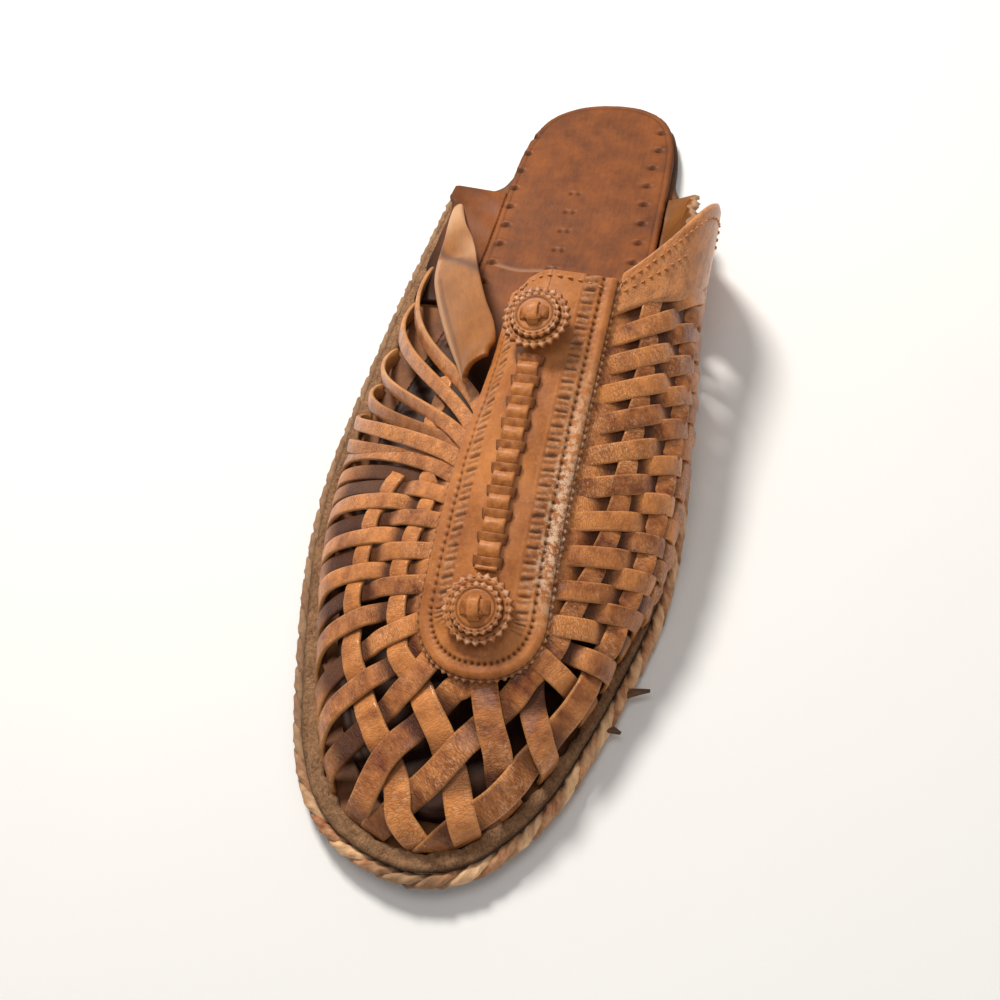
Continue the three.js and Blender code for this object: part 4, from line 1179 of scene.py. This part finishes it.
def make_panel(finish):
    """The tooled panel with its pinked edge."""
    length = panel_length()
    places = [[panel_place(w, k) for k in np.linspace(0, 1, 17)] for w in np.linspace(-1, 1, 241)]
    rows, columns = PANEL_ROWS, PANEL_COLUMNS
    points = fine_grid(np.array([[crest(*p) for p in row] for row in places]), rows, columns)
    normals = np.array([[crest_normal(*p) for p in row] for row in places])
    normals = unit(fine_grid(normals, rows, columns))
    along, depth = np.meshgrid(np.linspace(-length, length, rows),
                               np.linspace(0, PANEL_WIDE, columns), indexing="ij")
    inward = (points[:, -1:] - points[:, :1]) / PANEL_WIDE
    notch = TOOTH_CUT * (1 - saw(along / TOOTH)) * np.clip(1 - depth / 1.2, 0, 1)
    skew = np.clip((along / length - 0.90) / 0.10, 0, 1) * np.clip(1 - depth / 16, 0, 1)
    points = points + inward * notch[..., None] + TOP_SKEW * (skew ** 1.5)[..., None]
    height, deep, proud = panel_tooling(along, depth)
    grid = np.concatenate([(points + normals * height[..., None]).reshape(-1, 3),
                           (points + normals * PANEL_LOW).reshape(-1, 3)])
    doubled = {name: np.tile(value.ravel(), 2)
               for name, value in (("across", depth), ("along", along), ("deep", deep))}
    piece = Piece()
    piece.body(grid, plate_faces(rows, columns), tone=0.0,
               cut=np.r_[proud.ravel(), proud.ravel() * 0], **doubled)
    piece.make("medallion_panel", finish, "panel_leather", "panel")


def make_panel_stitching(thread):
    """A row of stitches close to the panel's top edge."""
    top = [(PANEL_TOP + 1.6, reach) for reach in np.linspace(-0.9, 0.82, 60)]
    normals = [crest_normal(*p) for p in top]
    path = [crest(*p) + n * (PANEL_HIGH - 0.25) for p, n in zip(top, normals)]
    seam = Piece()
    stitches(seam, path, normals, 1.9, 0.8, 0.30, wobble=0.08)
    seam.make("panel_stitching", thread, "panel_leather")


# ------------------------------------------------------------------ ladder
LADDER_FROM = 156.8
LADDER_TO = 208.0
LADDER_PITCH = 5.45
LADDER_HALF = 2.55
LADDER_THONG = 5.3


def panel_frame(from_heel):
    """(point, across, forward, normal) on the panel's middle line, a small square set of axes."""
    normal = crest_normal(from_heel, 0.0)
    forward = unit(crest(from_heel + 1, 0.0) - crest(from_heel - 1, 0.0))
    across = unit(np.cross(forward, normal))
    return crest(from_heel, 0.0), across, forward, normal


def make_ladder(finish):
    """A thong laced down the panel's middle, and the bars that it goes over and under."""
    piece = Piece()
    places = np.arange(LADDER_FROM, LADDER_TO, 0.5)
    path, normals, deep = [], [], []
    for s in places:
        point, _, _, normal = panel_frame(s)
        wave = math.cos(2 * math.pi * (s - LADDER_FROM) / LADDER_PITCH)
        path.append(point + normal * (PANEL_HIGH + 0.55 - 0.55 * wave))
        normals.append(normal)
        # painted shade where the thong passes under a bar
        deep.append(0.95 * max(wave, 0) ** 0.7)
    strip(piece, path, np.array(normals), LADDER_THONG, 0.95, shade=0.5, deep=np.array(deep))
    for k in range(int((LADDER_TO - LADDER_FROM) / LADDER_PITCH) + 1):
        point, across, forward, normal = panel_frame(LADDER_FROM + k * LADDER_PITCH)
        t = np.linspace(-1, 1, 21)
        rise = 1.25 * (1 - np.abs(t) ** 3.2) - 0.15
        bow = 0.35 * (1 - t ** 2) * random.uniform(0.2, 1.0)
        bar = point + across * (t * (LADDER_HALF + 0.75))[:, None] + forward * bow[:, None]
        bar = bar + normal * (PANEL_HIGH - 0.35 + rise)[:, None]
        tilt = random.uniform(-0.5, 0.4)
        # painted shade towards each bar's ends, where they go down into the panel
        strip(piece, bar, np.tile(normal + forward * 0.25, (21, 1)), 2.6, 0.9, shade=tilt,
              deep=0.12 + 0.7 * np.abs(t) ** 5)
    piece.make("ladder_thong", finish, "thong_leather", "ladder")


# ------------------------------------------------------------------ rosettes
ROSETTES = {
    "rosette_top": {"from_heel": 147.0, "stand": 2.4, "lean": 5.0},
    "rosette_toe": {"from_heel": 216.5, "stand": 0.6, "lean": 0.0},
}
BASE_TIER = {"radius": 8.6, "thick": 1.3, "teeth": 24}
TOP_TIER = {"radius": 6.4, "thick": 1.1, "teeth": 20}
TIER_GAP = 0.15
KNOT_SINK = 0.2          # a knot's straps start this far under the top disc's face
# Straps of a knot: direction in degrees, sideways bow, width, thickness, length, rise, shade
KNOT = ((8, 0.3, 3.4, 1.0, 6.6, 0.9, -0.2), (97, 0.3, 2.7, 1.0, 5.6, 1.9, 0.8),
        (4, -1.9, 1.2, 0.9, 4.6, 1.5, -0.8))


def disc_body(piece, axes, radius, thick, teeth, height, dome):
    """A pinked disc: toothed edge, a punched ring inside it and a slightly domed top."""
    origin, across, forward, normal = axes
    turns = np.linspace(0, 2 * np.pi, teeth * 8, endpoint=False)
    pitches = turns * teeth / (2 * np.pi)
    tooth = 1 - 0.11 * (1 - saw(pitches))

    def ring(r, z):
        return (origin + across * (r * np.cos(turns))[:, None]
                + forward * (r * np.sin(turns))[:, None] + normal * np.reshape(z, (-1, 1)))

    shares = np.r_[np.linspace(0.02, 0.86, 22), 0.90, 0.94, 0.975, 1.0]
    rings, marks = [], []
    for share in shares:
        punched = bell(share - 0.84, 0.08) * bell((pitches + 0.5) % 1.0 - 0.5, 0.30)
        groove = bell(share - 0.70, 0.05)
        relief = dome * (1 - share ** 2) + 0.16 * bell(share - 0.80, 0.07) - 0.22 * groove
        relief = relief - 0.35 * max(share - 0.94, 0) / 0.06 - 0.45 * punched
        rings.append(ring(radius * share * mix(1.0, tooth, smooth(share, 0.80, 1.0)),
                          height + thick + relief))
        # painted shade in the punched ring and the groove, and a little at the very rim
        marks.append(np.clip(0.9 * punched + 0.7 * groove + 0.35 * (share > 0.99), 0, 1))
    rings += [ring(radius * tooth, height), ring(radius * tooth * 0.3, height)]
    # painted shade on the underside
    marks += [np.full(len(turns), 0.5)] * 2
    sides = len(turns)
    proud = np.repeat(np.r_[np.clip(bell(shares - 0.90, 0.10), 0, 1), 0, 0], sides)
    piece.body(np.array(rings), tube_faces(len(rings), sides), tone=0.0,
               deep=np.concatenate(marks), cut=proud * 0.8,
               along=np.tile(turns * radius, len(rings)))


def arch(piece, axes, base, direction, bow, width, thick, length, rise, shade):
    """A short strap over the knot: up, across and down again."""
    origin, across, forward, normal = axes
    a = math.radians(direction)
    run = across * math.cos(a) + forward * math.sin(a)
    t = np.linspace(-1, 1, 25)
    x = length / 2 * np.sign(t) * np.abs(t) ** 0.8
    z = base + rise * (1 - np.abs(t) ** 3.0)
    path = origin + run * x[:, None] + normal * z[:, None]
    side = np.cross(run, normal)
    path = path + side * (bow * (1 - t ** 2))[:, None]
    outward = np.tile(normal, (25, 1)) + run * (np.sign(t) * np.abs(t) ** 2 * 1.5)[:, None]
    # painted shade towards the strap's ends, where they go down into the disc
    strip(piece, path, unit(outward), width, thick, shade=shade, deep=0.45 * np.abs(t) ** 4)


def make_rosettes(finish, thong):
    """Two rosettes of pinked discs on the panel; the rear one stands up on two smaller discs."""
    for name, seat in ROSETTES.items():
        point, across, forward, normal = panel_frame(seat["from_heel"])
        lean = math.radians(seat["lean"])
        normal, forward = (normal * math.cos(lean) + forward * math.sin(lean),
                           forward * math.cos(lean) - normal * math.sin(lean))
        origin = point + normal * (PANEL_HIGH + 0.3 + seat["stand"])
        axes = (origin, across, forward, normal)
        base = Piece()
        disc_body(base, axes, height=0.0, dome=0.15, **BASE_TIER)
        if seat["stand"] > 1:
            disc_body(base, axes, 4.6, 0.8, 14, -seat["stand"] - 0.2, 0.0)
            disc_body(base, axes, 5.4, 0.9, 16, -seat["stand"] + 0.9, 0.1)
        base.make(name + "_base_disc", finish, "panel_leather", name + "_base")
        level = BASE_TIER["thick"] + TIER_GAP
        disc = Piece()
        disc_body(disc, axes, height=level, dome=0.35, **TOP_TIER)
        disc.make(name + "_top_disc", finish, "panel_leather", name + "_disc")
        knot = Piece()
        for strap in KNOT:
            arch(knot, axes, level + TOP_TIER["thick"] - KNOT_SINK, *strap)
        knot.make(name + "_knot_thong", thong, "thong_leather", name + "_knot")


# ------------------------------------------------------------------ sole pieces
TOE_STEPS = (1.3, 1.1, 0.85, 0.6, 0.4, 0.25)      # closer rows before the outline's last row


def sole_grid(outline, inset, rows, columns):
    """Rows of places right across an outline, from heel to toe, as (from_heel, across)."""
    last = outline.last
    steps = np.r_[0.30, 0.45, np.linspace(0.6, last - 1.5, rows), last - np.array(TOE_STEPS)]
    ends = np.array([[outline.edge(r, side, inset(r))[:2] for side in (-1, 1)] for r in steps])
    heel = ends[:, :, 0].mean(axis=1)
    order = np.argsort(heel, kind="stable")
    lengths = np.concatenate([[0], np.cumsum(np.abs(np.diff(heel[order])) + 0.02)])
    evenly = np.linspace(0, lengths[-1], rows)
    flat = ends[order].reshape(-1, 4)
    ends = np.stack([np.interp(evenly, lengths, flat[:, k]) for k in range(4)], axis=1).reshape(-1, 2, 2)
    u = np.linspace(-1, 1, columns)
    share = ((np.sign(u) * (1 - (1 - np.abs(u)) ** 1.15) + 1) / 2)[None, :, None]
    return ends[:, None, 0] * (1 - share) + ends[:, None, 1] * share


def slab(piece, places, low, high, round_top, depth, relief, **marks):
    """A flat leather body over a grid of places, its upper edge rounded over."""
    rows, columns = places.shape[:2]
    near = np.clip(1 - depth / round_top, 0, 1)
    height = high - round_top * (1 - np.sqrt(np.clip(1 - near ** 2, 0, 1))) + relief
    top = [at(*places[j, i], height[j, i]) for j in range(rows) for i in range(columns)]
    under = [at(*places[j, i], low) for j in range(rows) for i in (0, columns - 1)]
    base = rows * columns
    faces = [[k + 1, k + columns + 1, k + columns, k]
             for k in range(base - columns) if (k + 1) % columns]
    for j in range(rows - 1):
        first, last = j * columns, (j + 1) * columns - 1
        left, right = base + 2 * j, base + 2 * j + 1
        faces.append([first, first + columns, left + 2, left])
        faces.append([last, right, right + 2, last + columns])
        faces.append([left, left + 2, right + 2, right])
    faces.append(list(range(columns)) + [base + 1, base])
    toe = range(base - columns, base)
    faces.append(list(toe)[::-1] + [base + 2 * rows - 2, base + 2 * rows - 1])
    filled = {name: np.concatenate([np.ravel(value), np.full(2 * rows, np.mean(value[:, 0]))])
              for name, value in marks.items()}
    piece.body(np.array(top + under), faces, **filled)


SLIT_PITCH = 9.0
SLIT_ROWS = ((19.6, 15.7), (-25.2, 19.8))      # across, first place from the heel
SLITS_IN = 5.5           # forward of the ears they lie this far in from the edge
SLITS_TO = 240.0
CENTRE_ACROSS = -4.5
CENTRE_FIRST = 48.0
CENTRE_HOLES = 5


def spot(across, heel, x, y, wide, long):
    """A soft oval spot on the footbed."""
    return bell(np.hypot((across - x) / wide, (heel - y) / long), 1.0)


def slit_place(line, s):
    """How far across the slit at s lies, on the row that starts at line."""
    if s > 95:
        return math.copysign(FOOTBED.value("left" if line < 0 else "right", s) - SLITS_IN, line)
    place = line + 0.8 * math.sin(s * 0.11)
    if s < 24 and line > 0:
        place -= (24 - s) * 0.12
    return place


def footbed_slits(across, heel):
    """Raised height and painted shade of the slits along both sides and of the holes in the middle."""
    relief, deep = np.zeros_like(heel), np.zeros_like(heel)
    for line, first in SLIT_ROWS:
        for s in np.arange(first, SLITS_TO, SLIT_PITCH):
            x = slit_place(line, s)
            slit = spot(across, heel, x, s, 2.3, 1.15)
            relief += 0.45 * spot(across, heel, x, s - 1.7, 2.8, 0.9) - 0.9 * slit
            deep += slit
    for k in range(CENTRE_HOLES):
        s = CENTRE_FIRST + k * SLIT_PITCH
        for aside in (-1.3, 1.3):
            hole = spot(across, heel, CENTRE_ACROSS + aside, s, 1.1, 1.1)
            relief -= 0.6 * hole
            deep += 0.8 * hole
        relief += 0.2 * spot(across, heel, CENTRE_ACROSS, s - 1.6, 3.0, 0.8)
    return relief, deep


def make_insole(finish):
    """The footbed, with its slits, holes and creases."""
    rows, columns = 440, 128
    places = sole_grid(footbed_outline, lambda row: 0.0, rows, columns)
    heel, across = places[..., 0], places[..., 1]
    depth = footbed_outline.depth(np.c_[across.ravel(), heel.ravel()]).reshape(rows, columns)
    relief, deep = footbed_slits(across, heel)
    crease = bell(heel - (84.0 + 0.09 * (across + 25)) - 0.7 * np.sin(across * 0.3), 0.9)
    crease = crease * np.clip((6 - across) / 8, 0, 1) * np.clip((depth - 2) / 3, 0, 1)
    crease = crease + 0.7 * bell(heel - (118 + 0.05 * across), 1.2)
    dish = 0.35 * spot(across, heel, -1, 28, 30, 26)
    groove = bell(depth - 2.2, 0.5)
    relief = relief - 0.22 * crease - dish - 0.12 * groove
    # painted shade: darker forward of the arch, where the vamp closes over the footbed, and in the groove
    # near the edge; also darker along the very edge
    inside = 0.88 * np.clip((heel - 98) / 30, 0, 1)
    deep = np.clip(deep + inside + 0.35 * groove + 0.7 * np.clip(1 - depth / 0.8, 0, 1), 0, 1)
    piece = Piece()
    slab(piece, places, TREAD_TOP - 0.3, TREAD_TOP + INSOLE_THICK, 1.1, depth, relief,
         deep=deep, cut=np.clip(crease, 0, 1) * 0.8, across=across, along=heel)
    piece.make("footbed", finish, "footbed_leather", "insole")


def make_outsole(finish):
    """The sole, cut back under the braid."""
    rows, columns = 260, 40

    def inset(row):
        return EDGE_INSET * smooth(row, SHOULDER_ROW - 0.7, SHOULDER_ROW + 0.1)

    places = sole_grid(sole_outline, inset, rows, columns)
    heel, across = places[..., 0], places[..., 1]
    depth = sole_outline.depth(np.c_[across.ravel(), heel.ravel()]).reshape(rows, columns)
    edge = np.where(heel > 47, depth - EDGE_INSET, depth)
    piece = Piece()
    relief = 0.05 * np.sin(heel * 0.7) * np.sin(across * 0.9)
    slab(piece, places, 0.0, OUTSOLE_TOP, 0.9, np.clip(edge, 0, 99), relief,
         deep=np.clip(1 - edge / 1.5, 0, 1), across=across, along=heel)
    piece.make("outsole_leather", finish, "sole_leather", "outsole")


def ear_reach(side, from_heel, outer):
    """The left ear lies out over the rim; the right one keeps its own edge."""
    if side > 0:
        return outer
    width = OUTLINE.value("left", from_heel)
    return max(outer, min(width - 5.2, 46.8))


def make_ears(footbed, lining):
    """The two ears: the left one lies flat with the footbed's grain, the right one stands."""
    rows, columns = 110, 34
    for name, side, finish, slot in (("left", -1, footbed, "footbed_leather"),
                                     ("right", 1, lining, "lining_leather")):
        table = EARS[name]
        first, last = table.rows[0, 0], table.rows[-1, 0]
        top, under = [], []
        for s in np.linspace(first, last, rows):
            inner, outer, rise = (table.value(c, s) for c in ("inner", "outer", "rise"))
            outer = ear_reach(side, s, outer)
            ragged = 0.7 * math.sin(s * 0.55) + 0.45 * math.sin(s * 1.31 + 1.0)
            for share in np.linspace(0, 1, columns):
                climb = rise * share ** 1.6
                lean = EAR_THICK * 0.5 * smooth(rise, 2, 12) * share
                across = mix(inner, outer, share) + (ragged * share ** 6 if side > 0 else 0)
                nudge = 0.15 * math.sin(s * 0.5 + share * 5)
                high = TREAD_TOP + EAR_THICK + climb + nudge - 0.5 * max(share - 0.93, 0) / 0.07
                top.append(at(s, side * (across - lean), high))
                under.append(at(s, side * (across + lean), TREAD_TOP + climb))
        share = np.tile(np.linspace(0, 1, columns), rows)
        along = np.repeat(np.linspace(first, last, rows), columns)
        # painted shade on both ears, deeper forward where the upper closes over them; on the left ear
        # deeper towards its outer side, cast by the upper's wall; on the right ear over all of it, deeper
        # at its inner side
        forward_shade = np.clip((along - 62) / 30, 0, 1)
        if side < 0:
            deep, pale = 0.55 * share ** 2 + 0.6 * forward_shade, 0.2
        else:
            deep, pale = 0.30 + 0.25 * (1 - share) ** 3 + 0.4 * forward_shade, 0.9
        cut = pale * np.clip((share - 0.96) / 0.04, 0, 1)
        piece = Piece()
        piece.body(np.array(top + under), plate_faces(rows, columns), deep=np.r_[deep, deep],
                   cut=np.r_[cut, cut], across=np.r_[along, along] * 0.35,
                   along=np.r_[share, share] * 14, tone=0.1)
        piece.make("ear_" + name + "_leather", finish, slot, "ear_" + name)


WELT_STEP = 0.8
# Section of the welt: (share across from the braid to the weave, height above the tread)
WELT_SECTION = np.array([
    (0.0, -0.1), (0.0, 0.7), (0.10, 1.15), (0.26, 1.4), (0.42, 1.5), (0.58, 1.55), (0.74, 1.6),
    (0.90, 1.7), (1.0, 1.35), (1.03, 0.6), (1.0, -0.1), (0.5, -0.1)])


def make_welt(finish):
    """The rough strip that lies on the sole between the braid and the feet of the weave."""
    piece = Piece()
    places = rim_walk(WELT_STEP)
    rings, deep = [], []
    for k, (side, share) in enumerate(places):
        outer, inner = 3.0, foot_inset(share) - foot_out(side, share) + 0.35
        ragged = 0.35 * math.sin(k * 0.37) + 0.25 * math.sin(k * 0.93 + 2) + random.normal(0, 0.09)
        ring = []
        for u, z in WELT_SECTION:
            across = mix(outer, inner + ragged * u ** 3 * 0.8, u)
            s, a, _ = rim(side, share, across)
            rough = random.normal(0, 0.12) + 0.22 * math.sin(k * 0.21 + u * 4)
            rough += 0.12 * math.sin(k * 0.77 - u * 6)
            ring.append(at(s, a, TREAD_TOP + z + (rough if z > 0.5 else 0)))
        rings.append(ring)
        # painted shade low on the welt's sides and underside, and on its top next to the braid
        deep.append([0.9 if z < 0.5 else 0.75 * max(0, 1 - u / 0.2) for u, z in WELT_SECTION])
    piece.body(np.array(rings), tube_faces(len(rings), len(WELT_SECTION)),
               deep=np.ravel(deep), along=np.repeat(np.arange(len(rings)) * WELT_STEP, len(WELT_SECTION)))
    piece.make("rough_welt", finish, "welt_suede", "welt")


BRAID_INSET = 1.65
BRAID_MIDDLE = 2.9
BRAID_PITCH = 16.5
BRAID_STEP = 0.55
BRAID_WIDE = 0.75         # how far a thong's middle swings out and up from the braid's middle
BRAID_TALL = 1.15
TAGS = ((0.705, 6.2, 34.0), (0.745, 3.6, 8.0))   # place at the right, length, turn


def make_braid(finish):
    """Two thongs twisted together along the sole's edge, and two loose ends at the right."""
    piece = Piece()
    places = rim_walk(BRAID_STEP)
    middle, out = [], []
    for side, share in places:
        s, a, outward = rim(side, share, BRAID_INSET)
        middle.append(at(s, a, BRAID_MIDDLE))
        out.append([outward[0], -outward[1], 0.0])
    middle, out = np.array(middle), np.array(out)
    up = np.tile([0.0, 0.0, 1.0], (len(middle), 1))
    run = np.arange(len(middle)) * BRAID_STEP
    left = np.array([side < 0 for side, _ in places], float)
    shares = np.array([share for _, share in places])
    grime = left * np.clip((0.93 - shares) / 0.15, 0, 1) + np.clip((shares - 0.94) / 0.04, 0, 1) * 0.9
    for k in range(2):
        turn = 2 * np.pi * run / BRAID_PITCH + k * np.pi + 0.25 * np.sin(run * 0.13)
        swing, climb = np.cos(turn)[:, None], np.sin(turn)[:, None]
        away = out * (swing * BRAID_WIDE) + up * (climb * BRAID_TALL)
        normals = unit(out * (swing / BRAID_WIDE) + up * (climb / BRAID_TALL))
        swell = 1 + 0.10 * np.sin(run * 0.9 + k) + 0.06 * np.sin(run * 2.3)
        before = len(piece.points)
        # painted shade on the lower half of each turn of the twist
        strip(piece, middle + away, normals, 2.7 * swell, 1.5, shade=0.4 * (-1) ** k,
              deep=np.clip(-climb[:, 0] * 0.5, 0, 1))
        piece.marks[before][:, 3] = np.repeat(grime, len(STRIP_SECTION))
    for share, length, turned in TAGS:
        s, a, outward = rim(1, share, 1.2)
        start = at(s, a, BRAID_MIDDLE + 0.9)
        a = math.radians(turned)
        heading = np.array([outward[0] * math.cos(a) + outward[1] * math.sin(a),
                            -outward[1] * math.cos(a) + outward[0] * math.sin(a), 0.12])
        t = np.linspace(0, 1, 12)
        path = start + heading * (t * length)[:, None] - np.array([0, 0, 0.9]) * (t ** 2)[:, None]
        normals = np.tile([0.1, 0.2, 1.0], (len(t), 1))
        # the loose ends are coloured dark through the same mark, darker towards their tips
        strip(piece, path, normals, 2.7 - 2.2 * t, 0.9, shade=-0.6, deep=0.80 + 0.15 * t)
    piece.make("braided_edge", finish, "braid_leather", "edge_braid")


# ------------------------------------------------------------------ studio
def make_floor():
    """A floor that curves up into a wall behind, in metres."""
    mesh = bpy.data.meshes.new("floor")
    reach, back, bend, wall = 1.6, 0.6, 0.5, 1.4
    profile = [(-reach, 0.0), (back, 0.0)]
    profile += [(back + bend * math.sin(a), bend * (1 - math.cos(a))) for a in np.linspace(0.1, 1.5, 14)]
    profile.append((back + bend, wall))
    points = [(x, y, z) for y, z in profile for x in (-reach, reach)]
    faces = [[2 * k, 2 * k + 1, 2 * k + 3, 2 * k + 2] for k in range(len(profile) - 1)]
    mesh.from_pydata(points, [], faces)
    mesh.polygons.foreach_set("use_smooth", [True] * len(faces))
    mesh.materials.append(pale_floor())
    floor = bpy.data.objects.new("floor", mesh)
    bpy.context.scene.collection.objects.link(floor)


def soft_light(name, place, aim, size, power, colour):
    lamp = bpy.data.lights.new(name, "AREA")
    lamp.shape = "DISK"
    lamp.size = size
    lamp.energy = power
    lamp.color = colour
    thing = bpy.data.objects.new(name, lamp)
    thing.location = place
    thing.rotation_euler = (Vector(aim) - Vector(place)).to_track_quat("-Z", "Y").to_euler()
    bpy.context.scene.collection.objects.link(thing)


CAMERA_PLACE = Vector((0.07225, -0.1792, 0.2436))
CAMERA_AIM = Vector((0.004, -0.038, 0.015))
CAMERA_LENS = 37.5
CAMERA_ROLL = math.radians(-14.6)


def make_studio():
    make_floor()
    soft_light("key", (-0.30, 0.40, 0.75), (0, 0, 0), 0.22, 7.6, (1.0, 0.96, 0.9))
    soft_light("fill", (0.5, -0.6, 0.7), (0, 0, 0), 0.6, 0.9, (1.0, 0.98, 0.96))
    soft_light("top", (0.05, -0.05, 0.9), (0, 0, 0), 0.4, 1.2, (1.0, 1.0, 1.0))
    world = bpy.data.worlds.new("studio")
    world.use_nodes = True
    world.node_tree.nodes["Background"].inputs["Color"].default_value = (1, 1, 1, 1)
    world.node_tree.nodes["Background"].inputs["Strength"].default_value = 0.20
    scene = bpy.context.scene
    scene.world = world
    scene.view_settings.view_transform = "Standard"
    camera = bpy.data.cameras.new("camera")
    camera.lens = CAMERA_LENS
    camera.sensor_width = 36.0
    camera.clip_start = 0.01
    thing = bpy.data.objects.new("camera", camera)
    aim = (CAMERA_AIM - CAMERA_PLACE).to_track_quat("-Z", "Y").to_matrix().to_4x4()
    thing.matrix_world = Matrix.Translation(CAMERA_PLACE) @ aim @ Matrix.Rotation(CAMERA_ROLL, 4, "Z")
    scene.collection.objects.link(thing)
    scene.camera = thing


# ------------------------------------------------------------------ making the shoe
def make_shoe():
    strips = strip_leather()
    panel, thong, thread = panel_leather(), thong_leather(), stitch_thread()
    footbed, lining = footbed_leather(), lining_leather()
    make_weave(strips)
    make_band(strips)
    make_band_stitching(thread)
    make_strap(lining)
    make_panel(panel)
    make_panel_stitching(thread)
    make_ladder(thong)
    make_rosettes(panel, thong)
    make_insole(footbed)
    make_outsole(sole_leather())
    make_ears(footbed, lining)
    make_welt(welt_suede())
    make_braid(braid_leather())


make_shoe()
make_studio()
